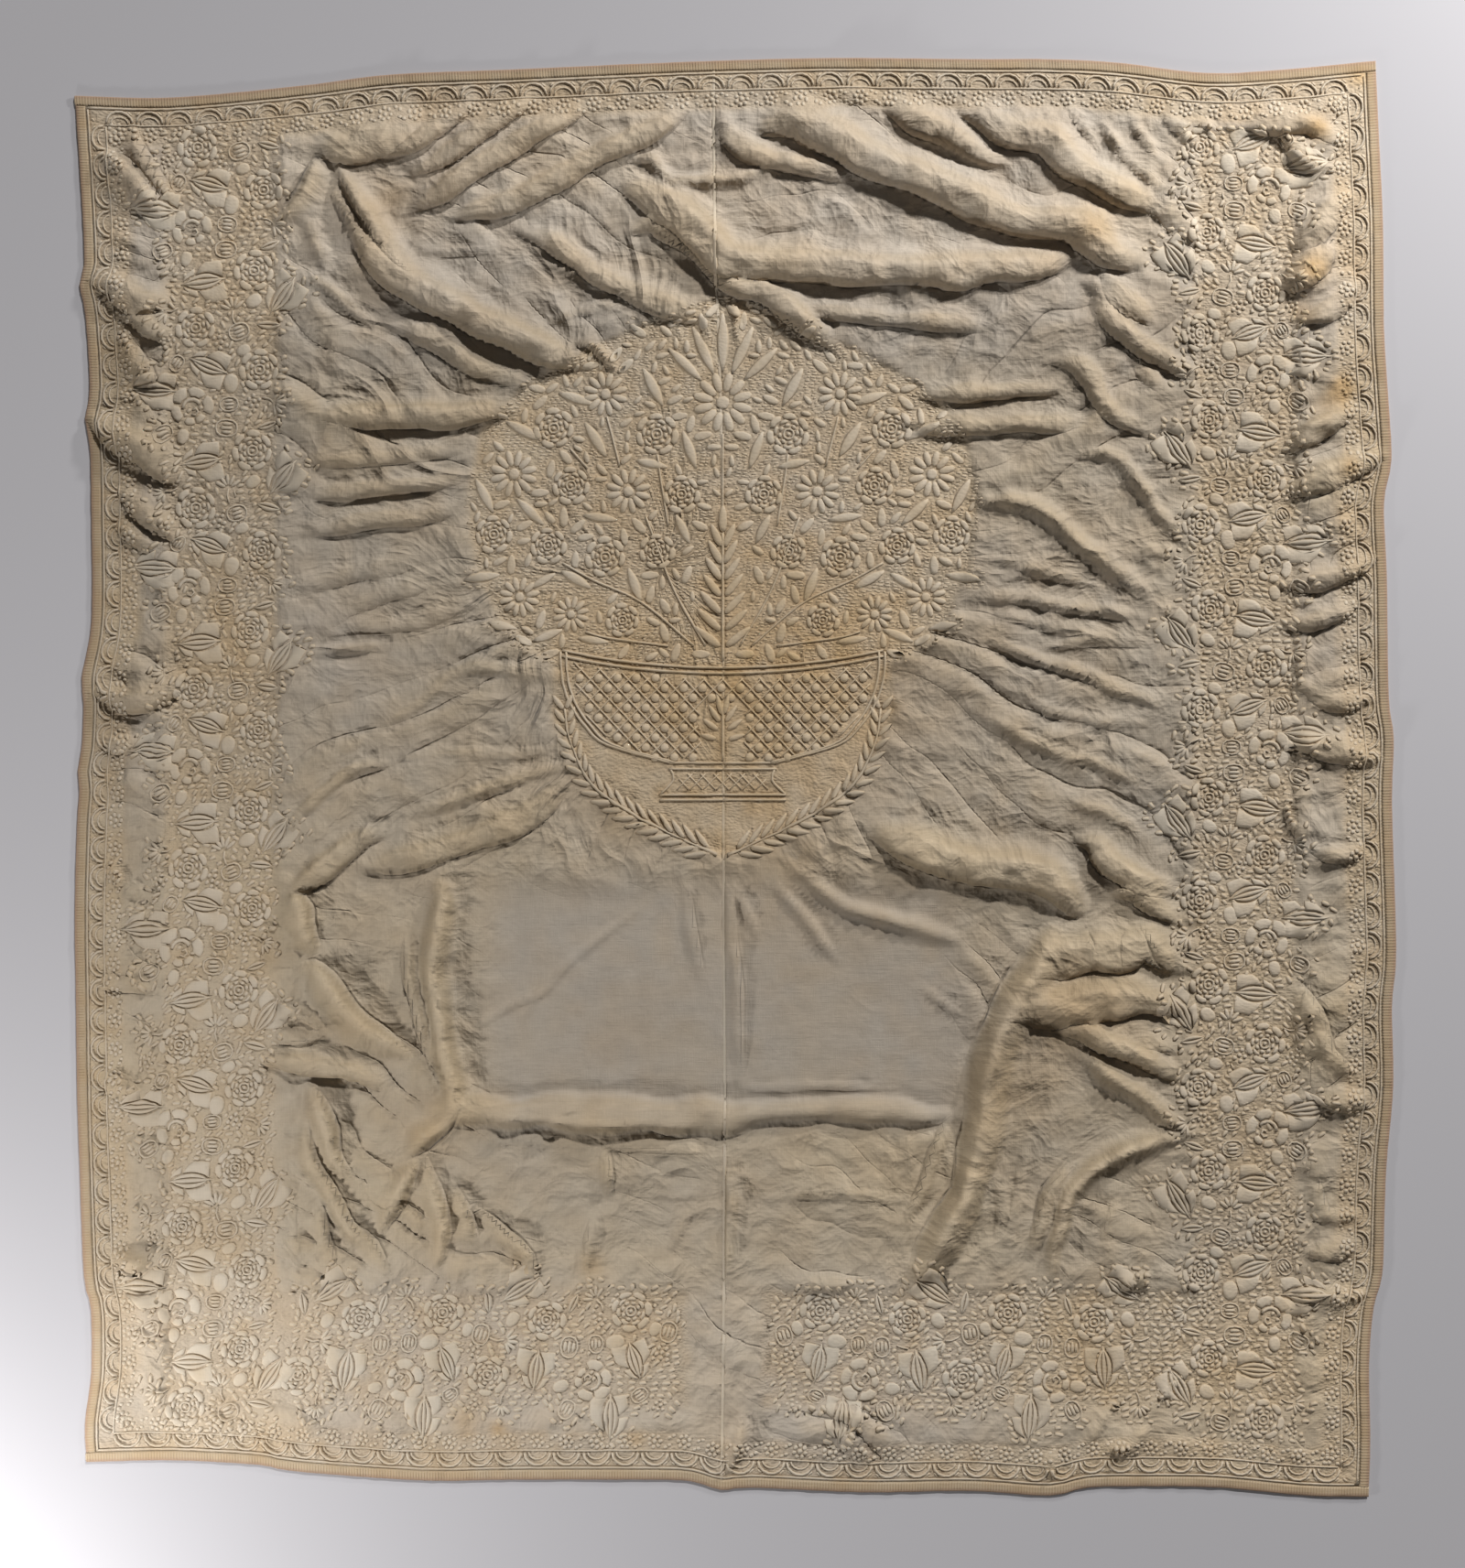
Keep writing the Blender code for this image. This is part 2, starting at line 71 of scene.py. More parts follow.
BOTTOM_EDGE = (
    (-113.3, -119.6), (-98.4, -119.3), (-83.2, -120.1), (-77.1, -121.2), (-55, -122.8), (-38.9, -122.7),
    (-13.4, -122.7), (-7.2, -123.1), (-2.4, -124.5), (2.9, -124.1), (22.4, -124.9), (41.1, -124.7),
    (54.9, -125.5), (61.6, -124.1), (71.7, -123.9), (84.5, -124.1), (99.8, -125.5), (110.6, -125.7),
)
LEFT_EDGE = (
    (-113.3, -119.6), (-113.6, -112.9), (-112.5, -103.8), (-112.6, -92.6), (-113.8, -87), (-114.6, -66.8),
    (-115, -54), (-115.2, -38.7), (-115.4, -23.5), (-115, -8.1), (-114.6, -2.3), (-114.9, 1.2),
    (-114.2, 5.3), (-113.9, 13), (-114.2, 17.5), (-112.5, 27.3), (-112.5, 45), (-112.8, 57.8),
    (-113.6, 62.6), (-112.8, 68.2), (-113.6, 81), (-114.6, 86.1), (-113.8, 89.7), (-114.1, 98.9),
    (-115.4, 119.1),
)
SEAM = ((-3.8, 125.2), (-3.7, 99.0), (-2.7, 69.0), (-2.2, 40.0), (-2.1, -8.0), (-1.9, -72.0), (-2.4, -124.5))

# One row for each fold: how it falls, half width, height, then x and y of each place along its crest
FOLDS = (
    # Upper left
    ("lower", 2.8, 2.8, -74, 110.4, -66.7, 111.7, -60.3, 113.6, -55, 115.6),
    ("left", 2, 2.2, -72.7, 109.2, -75.5, 101.8, -80, 96.5),
    ("lower", 2.4, 3.6, -66, 96.5, -62, 91.6, -57.6, 87.8, -52.5, 84.8, -48, 82.6, -41.1, 79.2, -34.2,
     75.7, -25.6, 72.2),
    ("left", 1.3, 3, -69.6, 107.6, -68, 104.2, -64.5, 98.6, -60.8, 92.9, -55, 87.6),
    ("", 1, 2.2, -71, 104.2, -69.4, 101.4, -66.3, 96.4, -62.6, 90.4, -58.5, 86),
    ("", 1.6, 1.8, -77.6, 88.8, -70.6, 85.1, -64.7, 80.1, -61.8, 77.6),
    ("lower", 2, 1.8, -62.2, 78.5, -57, 79, -52, 76.5, -47, 73.5, -42, 71.5, -35, 70),
    ("lower", 1.3, 2.3, -63, 108.4, -60, 110, -54, 113, -46.5, 117),
    ("lower", 1.4, 2.5, -57, 105.4, -53, 108, -47, 111.8, -42, 114.8, -35.5, 117.8),
    ("lower", 1.6, 2.7, -57, 98.5, -50.5, 103.8, -44, 108.4, -36, 112.6, -26, 117),
    ("lower", 1.7, 2.7, -50, 97.8, -40, 101, -33, 103.8, -23.5, 109.1, -8.3, 117.3),
    ("", 0.9, 0.9, -57.8, 92, -47, 91.8, -38.1, 92.4),
    ("", 1, 1, -37.2, 78.2, -25.3, 82.1, -16.5, 84.9),
    ("lower", 2, 2.6, -73.3, 62.4, -69, 63.8, -54.9, 63.7, -38.9, 64.6),
    ("", 0.8, 0.8, -63.8, 77.6, -62.6, 72, -60.8, 64.8),
    ("", 1.8, 1.4, -74.9, 98.4, -72.5, 92.8, -70.1, 87.2),
    # Upper middle
    ("", 1.5, 1.6, -23, 108.5, -14.9, 107.9, -10.9, 104.6, -3.2, 104.4, 8.6, 106),
    ("lower", 1.8, 2, -2.1, 116.3, -0.2, 111.7, 9.6, 107.7, 21.3, 104.6),
    ("lower", 2.8, 3.4, 3.5, 113.3, 12.2, 114.9, 25, 109.1, 41.1, 101.8, 51.4, 97.9, 60.5, 97, 65.6, 92.8,
     71.7, 88.8),
    ("lower", 2.2, 2.2, 25, 117.5, 30, 116.5, 35, 114.5, 40, 111.5, 45, 109, 48.5, 108.2),
    ("lower", 2.4, 2.8, 39, 117.6, 48, 114, 55, 112, 58, 109.5, 61, 106.5, 66, 104, 70, 102, 76, 99),
    ("lower", 2.6, 3.4, -20, 103.5, -8.3, 99.5, -3.2, 93.9, 1.9, 90.9, 22.4, 89.8, 41.1, 89.6, 58.4, 91.2),
    ("lower", 1.8, 2.4, -19.5, 94.4, -14.4, 97, -8.3, 93.9, -0.2, 87.2, 7, 84.6, 18.2, 73.9),
    ("lower", 1.4, 1.6, 8.6, 83, 20, 81.6, 34.1, 80.4, 46, 79),
    ("lower", 1.8, 2, -38.9, 97, -31.2, 93.9, -23.5, 88.3, -13.4, 84.2, -3.7, 80.7),
    ("", 1.4, 1.2, -32.8, 89.8, -22.1, 85.8, -16, 83.7),
    ("", 1.2, 1.4, -30.2, 76, -24.6, 75.5, -20, 69.9),
    ("", 1.4, 1.2, -36.3, 78.6, -28, 81, -18.5, 82.1),
    ("", 0.9, 0.9, -4.6, 85, -5.2, 80, -4.8, 75),
    ("", 0.9, 0.9, -1, 84.5, 0.2, 80, 0.6, 75),
    # Upper right
    ("lower", 1.8, 2, 64.6, 89.3, 67.7, 84.6, 73.8, 78.6),
    ("lower", 1.8, 2.4, 60, 86.2, 64.6, 85.3, 66.6, 80.6, 71.7, 76, 81, 69.4),
    ("lower", 1.8, 2, 53.9, 73.9, 60.5, 72, 65.6, 65.3, 73.8, 58.7),
    ("lower", 1.4, 1.2, 69.7, 73, 76.8, 66.4),
    ("lower", 1.4, 2, 31.5, 66.9, 41.1, 67.7, 57.9, 68.3),
    ("lower", 1.6, 2, 29, 62.2, 41.1, 61.8, 57.4, 62.8, 62.6, 61.8),
    ("", 1, 1.2, 47.7, 117.9, 52.3, 114.2),
    ("", 1, 1.2, 53.3, 116.8, 57.9, 112.3),
    ("", 1, 1.2, 57.9, 117.9, 63, 110.2),
    ("", 1, 1.3, 63.5, 114.9, 69.1, 107.2),
    ("", 1, 1.3, 68.6, 115.4, 74.2, 107.2),
    ("", 1, 1.3, 74.2, 116.3, 81, 109.8),
    ("", 1, 1.2, 79.4, 115.8, 84, 112.3),
    ("", 1.4, 1.6, 68.3, 108, 73.9, 103.2, 77.9, 101.6),
    ("lower", 1.8, 2.2, 87, 115, 93.7, 114.7, 100.3, 114.3, 106.4, 110.4),
    ("left", 1.6, 2, 95, 113.6, 98.8, 108, 104.7, 105.4),
    ("lower", 2, 2.2, 97, 92.1, 101.6, 97.5, 106.4, 102.3),
    ("lower", 2.2, 2.6, 95.4, 84.9, 100.3, 90.7, 104.6, 94),
    ("lower", 1.6, 2.2, 97.6, 79, 103.2, 82.7, 108, 87),
    # Right middle
    ("", 2.2, 2.2, 41.1, 49.3, 51.4, 47.7, 57.9, 43.2, 64, 37.6, 72.8, 30.9),
    ("", 1.8, 1.8, 57.4, 56.5, 66.6, 55.4, 73.8, 45.2, 77.9, 42.1),
    ("", 1.4, 1.2, 69.7, 40.1, 77.9, 39.1),
    ("", 1.4, 1.6, 41.1, 39, 59, 35, 63.5, 33.6),
    ("", 1.4, 1.6, 41.1, 32, 57.1, 30.4, 73.8, 27.8),
    ("", 1.2, 1.2, 41.1, 29.1, 60.3, 25.6, 71.7, 24.8),
    ("", 1.4, 1.4, 52.8, 22.2, 61.9, 24, 73.8, 23.2),
    ("", 1.6, 1.8, 41.1, 24.8, 59, 18.7, 75.8, 11.5),
    ("", 1.6, 1.4, 44.2, 17.6, 59, 10.6, 73.8, 9),
    ("", 1.8, 2, 41.1, 12.5, 53.9, 5.4, 65.6, 1.8, 72.8, -3.2),
    ("", 1.4, 1.4, 63, 6.4, 72.8, 2.9, 77.9, -2.2),
    ("", 1.8, 1.8, 55.4, -3.8, 63.5, -5.8, 71.7, -9.9),
    # Right strip
    ("lower", 2.2, 2.4, 96.7, 49.4, 103.9, 54.3, 112.6, 56.5),
    ("lower", 1.8, 2.2, 95.9, 57, 101.7, 62.3, 108.3, 64.5),
    ("lower", 1.4, 1.8, 95.9, 26.7, 103.2, 28.9, 108.3, 30.3),
    ("lower", 1.6, 2, 94.5, 34, 105.4, 36.1, 111.2, 38.3),
    ("lower", 1.6, 2, 96.9, 16.4, 103.7, 14.7, 111.1, 13.6),
    ("lower", 2, 2.2, 97.2, 6.9, 105.5, 5.4, 112, 3.4),
    ("left", 1.2, 1.4, 96, -2.6, 97.3, -8.1, 101, -13.2),
    ("lower", 1.2, 1.6, 100.4, -12.8, 105, -13, 109.6, -12.6),
    ("right", 1.8, 2.2, 97.4, -35, 101, -41.9, 104, -48.3, 109.4, -52.4),
    ("lower", 1.6, 1.6, 100.6, -54.4, 105.5, -56, 110.4, -55.8),
    ("right", 1.2, 1.4, 101, -68.4, 103.3, -75.7, 109.2, -76.6),
    ("lower", 1.6, 1.8, 99.6, -82.1, 103.7, -82.6, 108, -80.8),
    ("lower", 1.4, 1.4, 97.2, -88.6, 103.5, -90, 110, -90.4),
    # Right lower
    ("lower", 2.8, 3.6, 23.4, -9, 41.1, -13.8, 53.9, -16, 61.6, -23.8),
    ("lower", 2, 2.4, 58.4, -9.6, 63.5, -11, 67.7, -15.7, 77.8, -20.3),
    ("lower", 1.8, 2, 65.6, -20.8, 69.7, -19.2, 77.9, -24.8),
    ("tall left", 3.7, 4, 56.4, -25, 52.7, -32.9, 47.9, -41.2, 45.4, -46.8, 43.4, -56.5, 41.8, -64.8,
     39.2, -73.8, 35.6, -80.9, 31, -88),
    ("left", 1.2, 1.6, 39, -57, 35.5, -64, 32, -73, 28, -79),
    ("lower", 3.4, 2.6, 49, -34, 54, -31.2, 58.5, -29.4, 63, -28.8, 67, -29.4, 71.5, -28.6, 78, -33),
    ("right", 0.8, 1.6, 60, -25, 61.5, -28, 62.8, -32.5),
    ("left", 0.8, 1.6, 68.6, -25.5, 67.4, -29, 67.8, -33),
    ("left", 1.6, 2, 70.5, -25.6, 73.4, -29.4, 77, -33.9),
    ("lower", 3, 2.9, 46, -41.2, 51.5, -39.4, 56, -38.2, 60.5, -37.6, 67.1, -37.2, 71.6, -38, 79, -40),
    ("lower", 1.8, 2.6, 54.5, -43, 61.7, -44, 68.9, -46.4, 74.3, -50.4, 77.9, -53.4),
    ("lower", 1, 1.2, 68.6, -44.8, 72.8, -45.8, 76.9, -48),
    ("", 2.4, 2.4, 57.6, -47.9, 64.4, -51.1, 69.8, -55.2, 75.2, -59.2, 79, -61.4),
    ("", 2.6, 2.8, 79.5, -61.8, 73.4, -63.3, 68.9, -64.6, 64.4, -67, 59.9, -70.4, 57, -75, 55.4, -88),
    ("left", 1.6, 1.8, 59.5, -66, 54.9, -71.8, 52.7, -77.3, 51.8, -84),
    ("", 0.9, 0.9, 51.5, -60.5, 49.6, -70, 48, -82),
    ("left", 1, 1, 66.6, -72.8, 63.5, -82.6),
    ("", 0.7, 0.7, 40.9, -70, 46.3, -70.2, 45.6, -84),
    ("lower", 1.2, 1.4, 67, -88, 72.8, -86.7),
    # Lower middle
    ("", 0.9, 0.9, -48.5, -45.8, -38.9, -39.7, -33.8, -37.6, -28.6, -32, -16, -22.2),
    ("", 0.7, 0.5, -38.1, -43.2, -33.8, -37.6),
    ("right", 1, 1.2, -0.6, -17, -0.4, -26.9, 0.5, -36.6, 0.9, -53.9),
    ("right", 1.2, 0.9, -8.8, -18.2, -7.2, -28.5, -5.3, -35.2),
    ("", 1.2, 1, -0.2, -18.2, 4.5, -28.5),
    ("", 1.4, 1.2, 5.9, -17.1, 15.2, -28.5, 18.7, -33),
    ("", 2, 1.8, 9.1, -14.1, 17.3, -21.3, 27.4, -24.8, 41.1, -29.4),
    ("", 0.9, 0.9, 31.5, -35.8, 41.1, -42.7),
    ("flat", 2.9, 2.2, -56, -58, -47, -58.2, -38.9, -58.7, -30, -58.4, -18.4, -59, -3.6, -59.3, 4, -59),
    ("", 1, 2.7, -49, -57.2, -42, -58.8, -34, -59.6, -24, -60.4, -10, -60.2, -3, -60.8),
    ("", 0.8, 0.9, -46, -62.4, -42, -63.8, -37, -63, -32, -64.4, -26, -63.6),
    ("lower", 0.8, 0.9, -26.1, -64, -16, -64.6, -3.2, -65.2),
    ("flat", 1.8, 1.8, -7, -58.8, 2, -58.4, 12.3, -58, 26.8, -58.5, 40, -59.5),
    ("", 1, 0.8, 1.9, -54.4, 16.2, -53.9, 27.5, -54.7),
    ("", 1, 1, 27.4, -64.1, 37.6, -63),
    ("", 1.6, 1.4, -2.1, -64.6, -0.5, -75.2, -1.1, -88),
    ("right", 1.2, 1.5, -23, -63.6, -21.2, -73.8),
    ("", 0.8, 0.5, -32.8, -72, -23.5, -72.5),
    ("", 0.8, 0.5, -14.4, -73.3, -4.2, -73),
    ("", 1, 1, -5.8, -74.2, -8.8, -76.8, -11.8, -84),
    ("", 1.2, 1.2, 5, -73.3, 18, -72.6, 31, -73.8),
    ("left", 1.1, 1.3, -24.4, -75.9, -27, -88),
    # Left lower
    ("", 2.2, 1.8, -63.8, 7.7, -55, 13.1, -45, 19.2, -29.3, 17.3),
    ("", 1.6, 1.4, -69.9, 3.4, -63.8, 8),
    ("", 1.4, 1.2, -62.7, 3.2, -51.7, 4.3, -38.9, 4, -29.3, 6.7),
    ("", 1.4, 1, -58.7, 9.4, -38.9, 14.6),
    ("", 2, 2, -78.1, -10.9, -75.5, -5.8, -65.9, 1.3, -58.1, 2.4),
    ("lower", 2, 2.4, -78.6, -21.1, -73.3, -16, -66.9, -10.9, -60.5, -8.8),
    ("lower", 2.2, 2.2, -66.4, -16, -59.7, -13.6, -52.5, -12, -38.9, -6.9, -29.3, 0),
    ("", 1.8, 1.8, -57.7, -6.8, -38.9, -0.2, -27, 3),
    ("left", 1.3, 2, -57.2, -26, -57, -32, -56.4, -38, -54.4, -45, -52.5, -52),
    ("tall", 2.6, 3.3, -51.2, -15.7, -51.3, -23.1, -52.2, -30.3, -52.6, -35.7, -51.8, -41.2, -51, -46.7,
     -49.8, -51.5, -49.4, -57, -51.8, -63.5),
    ("right", 2, 2.6, -48.2, -57, -51, -60.5, -54.8, -63.5, -58.5, -66.5),
    ("", 1, 1, -54.1, -22.2, -47.5, -11),
    ("right", 2.2, 2.8, -78, -18.5, -75.6, -23.1, -74.6, -27.6, -72.6, -31.6),
    ("", 1.2, 1.4, -83.7, -27.4, -79.1, -27.4, -77.5, -30.4),
    ("upper right", 2.4, 3, -78.6, -34.2, -73.4, -33.2, -68.9, -38.9, -64.3, -43.9, -59.8, -47, -54.5, -49),
    ("lower", 0.9, 1, -79, -41, -74.5, -41.8, -71.3, -44.4),
    ("lower", 0.9, 0.9, -80, -45.2, -75, -45.8, -71, -43.6),
    ("lower", 1.6, 2.4, -84, -49.6, -78, -49, -72, -49.8, -66, -51.4, -60, -54.4),
    ("right", 1.8, 2.8, -74.3, -52.9, -72.5, -56.5, -71.1, -61, -69.3, -66.4, -66.6, -70.9),
    ("right", 1.6, 2.2, -75.6, -58.3, -74, -65.5, -70.6, -71.8, -67.5, -78.2, -63.4, -81.6, -60.7, -87.6),
    ("lower", 1.4, 1.6, -64.6, -70.6, -60.6, -72.6, -57.6, -72.8),
    ("right", 1.8, 2.8, -55.3, -65.5, -57.1, -70, -59.4, -75.5, -62.1, -80),
    ("right", 1.8, 2.6, -54.9, -65.4, -52.4, -72, -50.8, -79.1, -51.3, -86.5),
    ("right", 1.6, 2.2, -49.9, -69.9, -47.2, -76.4, -44.5, -83.7),
    ("right", 1.4, 1.8, -46.4, -74.5, -40, -80, -36.2, -83.1, -35.3, -89.1),
    ("right", 1.2, 1.6, -72.2, -74.4, -71.8, -80, -69.4, -86.4),
    ("right", 1, 1.2, -77.5, -74.2, -75.7, -86.4),
    # Left middle
    ("lower", 1.4, 1.6, -75.5, 55.4, -61.3, 56.5, -46.4, 57.9),
    ("lower", 1.4, 1.8, -75.5, 49.8, -60.5, 51.5, -45.9, 52.8),
    ("lower", 1.6, 1.6, -75, 43.7, -62.1, 45.6, -48.5, 47.2),
    ("lower", 1.8, 1, -78.9, 33.6, -64.5, 36.8, -51.7, 40),
    ("lower", 1.6, 1, -74.6, 26.9, -57.6, 33.9, -50.1, 36.8),
    ("lower", 1.2, 0.8, -73.3, 25.6, -59.7, 27.2, -45.3, 30.4),
    ("", 1.2, 1.2, -74.6, 22.1, -59.7, 23),
    # Left strip
    ("right", 2.4, 2.4, -110.9, 110.4, -106.8, 106.7, -103.2, 102.3, -99.5, 97.2),
    ("right", 1.4, 1.8, -105.2, 113.6, -102.5, 107.4, -97.7, 100.6),
    ("lower", 2, 2.6, -112.2, 87.2, -108.3, 86.7, -103.2, 84, -99, 82.4),
    ("lower", 1.4, 2, -106.6, 81.6, -101.7, 79, -98.6, 76.4),
    ("right", 1.6, 2.2, -107, 77.8, -103.9, 72.5, -100, 67.6),
    ("lower", 2.2, 3, -112.2, 62.9, -107.6, 60.6, -101.7, 57, -96.3, 51.6),
    ("lower", 1.6, 2, -107.2, 50.4, -101.7, 45.6, -96.3, 40.8),
    ("lower", 1.2, 1.4, -107.5, 44.6, -101.1, 39.5),
    ("lower", 1.8, 2.4, -111.8, 14.8, -105, 14.2, -100.4, 15, -96.3, 18.2),
    ("lower", 1.4, 1.6, -110.8, 6, -103.6, 6.2),
    ("", 1, 1.2, -109.5, -13.6, -106.8, -19.1, -100, -21.8),
    ("lower", 1.2, 1.4, -111.8, -36, -105, -35.6, -100, -36.6),
    ("right", 1.2, 1.4, -111, -52, -105.8, -54.4, -102.6, -54.8),
    ("lower", 1.4, 1.8, -109, -83.4, -102, -85.4),
    # Bottom strip
    ("", 1.2, 1, -75.5, -110.7, -73.4, -115.8),
    ("", 1, 0.8, -72, -104.6, -71.4, -109.8),
    ("", 1.6, 1.8, -1.8, -121.5, 0, -116.8, 1.4, -111.4),
    ("", 2, 1.8, 64, -117, 69.8, -116.3, 71.7, -112.3),
    ("", 1.6, 1.2, 54.9, -122.5, 55.5, -118.4),
    ("", 1, 1.2, 60.5, -117.4, 67.2, -107.7),
    ("", 1, 1, 71.7, -111.2, 76.8, -105.1),
)
# One row for each way a fold can fall: the way it faces, its reach to that side and behind in half
# widths, 1 if it laps there, and how round its crest and how hollow its sides are
STEEP = {
    "": (0.0, 0.0, 1.0, 1.0, 0.0, 1.0, 1.4),
    "tall": (0.0, 0.0, 1.0, 1.0, 0.0, 1.2, 1.15),
    "tall left": (-1.0, 0.35, 0.80, 1.15, 0.0, 1.25, 1.1),
    "flat": (0.0, 0.0, 1.0, 1.0, 0.0, 2.6, 0.9),
    "lower": (0.0, -1.0, 1.45, 1.15, 1.0, 1.0, 1.35),
    "left": (-1.0, 0.0, 0.7, 1.8, 0.0, 1.1, 1.15),
    "right": (1.0, 0.0, 0.7, 1.8, 0.0, 1.1, 1.15),
    "upper right": (0.6, 0.8, 0.7, 1.7, 0.0, 1.1, 1.15),
}
END_SHARE = 0.10
END_REACH = 12.0
OVERHANG = 0.20
WANDER = 0.6
LAP_FALL = 0.26
BLEND = 3
FAR = 9.0
EDGE_SPARE = 1.4
NUDGE = 0.35

# The medallion's outline, one row for each height: y, half width about its middle
MEDALLION_X = -2.2
MEDALLION = (
    (-14, 0), (-11, 8), (-6, 17), (0, 24), (6, 28), (12, 31), (14, 30), (20, 30), (22, 34), (28, 40),
    (38, 44), (50, 45), (60, 43), (68, 36), (74, 26), (79, 15), (83, 4), (84, 0),
)
LEFT_BAND = (-99.5, -80.0)
RIGHT_BAND = (80.5, 98.0)
BOTTOM_BAND = (-110.0, -89.5)
LEFT_BOW = ((0.0, 0.0), (100.0, 0.6), (150.0, 3.0), (214.0, 2.0))
BREAK = (-8.0, 4.5)
BAND_TOP = 113.0


# Lines and places
def flowing(points, step):
    """Places every step or so along a smooth line through the points."""
    p = np.array(points, float)
    p = np.vstack([2 * p[0] - p[1], p, 2 * p[-1] - p[-2]])
    out = []
    for a, b, c, d in zip(p[:-3], p[1:-2], p[2:-1], p[3:]):
        count = max(1, round(math.dist(b, c) / step))
        for t in np.arange(count) / count:
            out.append(0.5 * (2 * b + (c - a) * t + (2 * a - 5 * b + 4 * c - d) * t * t
                              + (3 * b - a - 3 * c + d) * t ** 3))
    out.append(p[-2])
    return np.array(out)


def gone(line):
    """How far along a line each of its places is."""
    return np.concatenate([[0], np.cumsum(np.linalg.norm(np.diff(line, axis=0), axis=1))])


def along_line(line, share):
    """The places at these shares of the way along a line."""
    went = gone(line)
    return np.stack([np.interp(share, went / went[-1], line[:, k]) for k in (0, 1)], axis=-1)


def polar(reach, turn):
    return reach * math.cos(turn), reach * math.sin(turn)


TOP, RIGHT, BOTTOM, LEFT, SEAM_LINE = (
    flowing(edge, 2) for edge in (TOP_EDGE, RIGHT_EDGE, BOTTOM_EDGE, LEFT_EDGE, SEAM))


def in_outline(across, up):
    """The places at these shares of the way across and up inside the four edges."""
    across, up = np.broadcast_arrays(np.asarray(across, float), np.asarray(up, float))
    a = across[..., None]
    b = up[..., None]
    corners = (1 - a) * ((1 - b) * LEFT[0] + b * LEFT[-1]) + a * ((1 - b) * RIGHT[0] + b * RIGHT[-1])
    return ((1 - b) * along_line(BOTTOM, across) + b * along_line(TOP, across)
            + (1 - a) * along_line(LEFT, up) + a * along_line(RIGHT, up) - corners)


def seam_share(up):
    """How far across the outline the middle seam runs, at these shares of the way up."""
    table = np.linspace(0, 1, 60)
    low = np.zeros(60)
    high = np.ones(60)
    for _ in range(24):
        middle = 0.5 * (low + high)
        place = in_outline(middle, table)
        short = place[:, 0] < np.interp(place[:, 1], SEAM_LINE[::-1, 1], SEAM_LINE[::-1, 0])
        low = np.where(short, middle, low)
        high = np.where(short, high, middle)
    return np.interp(up, table, 0.5 * (low + high))


def patches(x, y, seed):
    """Soft random patches about one unit across, from -1 to 1."""
    table = np.random.default_rng(seed).random((64, 64)) * 2 - 1
    i = np.floor(x).astype(int)
    j = np.floor(y).astype(int)
    u = x - i
    v = y - j
    u = u * u * (3 - 2 * u)
    v = v * v * (3 - 2 * v)
    low, high = (table[i % 64, k % 64] * (1 - u) + table[(i + 1) % 64, k % 64] * u for k in (j, j + 1))
    return low * (1 - v) + high * v


def ridge(u, v, seed, sharp):
    """Thin random lines, 1 along each and 0 away from it."""
    return np.maximum(0, 1 - sharp * np.abs(patches(u, v, seed)))


def soft_step(low, high, value):
    """0 below low, 1 above high and smooth between."""
    t = np.clip((value - low) / (high - low), 0, 1)
    return t * t * (3 - 2 * t)


def within(low, high, value, soft=1):
    """1 between low and high and 0 outside, smooth for this far to both sides of each."""
    return soft_step(low - soft, low + soft, value) * soft_step(-high - soft, -high + soft, -value)


# Where the cloth is worked
def band_mask(x, y):
    """1 inside the left, right and bottom bands of vines, 0 outside."""
    sides = np.maximum(within(*LEFT_BAND, x), within(*RIGHT_BAND, x)) * within(BOTTOM_BAND[0], BAND_TOP, y)
    low = within(*BOTTOM_BAND, y) * within(LEFT_BAND[0], RIGHT_BAND[1], x) * (1 - within(*BREAK, x))
    return np.maximum(sides, low)


def medallion_reach(x, y):
    """How far inside the medallion's outline each place is, below 0 outside."""
    rows = np.array(MEDALLION)
    half = np.interp(y, rows[:, 0], rows[:, 1], left=-20, right=-20)
    return np.minimum(half - np.abs(x - MEDALLION_X), np.minimum(y - rows[0, 0] + 2, rows[-1, 0] - y + 2))


def edge_depth(x, y):
    """How far each place is from the nearest edge of the cloth."""
    aside = np.minimum(x - np.interp(y, LEFT[:, 1], LEFT[:, 0]), np.interp(y, RIGHT[:, 1], RIGHT[:, 0]) - x)
    return np.minimum(aside, np.minimum(y - np.interp(x, *BOTTOM.T), np.interp(x, *TOP.T) - y))


def held(x, y, low, high):
    """1 in the bands, the medallion and the margin, which ends between these two depths, 0 elsewhere."""
    inner = np.maximum(band_mask(x, y), soft_step(-0.5, 1.5, medallion_reach(x, y)))
    return np.maximum(inner, 1 - soft_step(low, high, edge_depth(x, y)))


def worked(x, y):
    """1 where the cloth is stuffed or corded, 0 where it is plain."""
    return held(x, y, 8, 9.5)


# The lie of the cloth
def fold_lines():
    """Each fold with its smooth crest line, the way gone along it and the box it can reach."""
    out = []
    for steep, half, height, *crest in FOLDS:
        half = half + 0.3 * soft_step(0.7, 1.3, half)
        falls = STEEP[steep]
        line = flowing(np.reshape(crest, (-1, 2)), 2) - OVERHANG * height * falls[4] * np.array(falls[:2])
        wander = np.column_stack([patches(line[:, 0] / 5.5, line[:, 1] / 5.5, seed) for seed in (66, 67)])
        line = line + WANDER * soft_step(0.8, 2, half) * wander
        out.append((half, height, falls, line, gone(line), line.min(axis=0) - half, line.max(axis=0) + half))
    return out


FOLD_LINES = fold_lines()


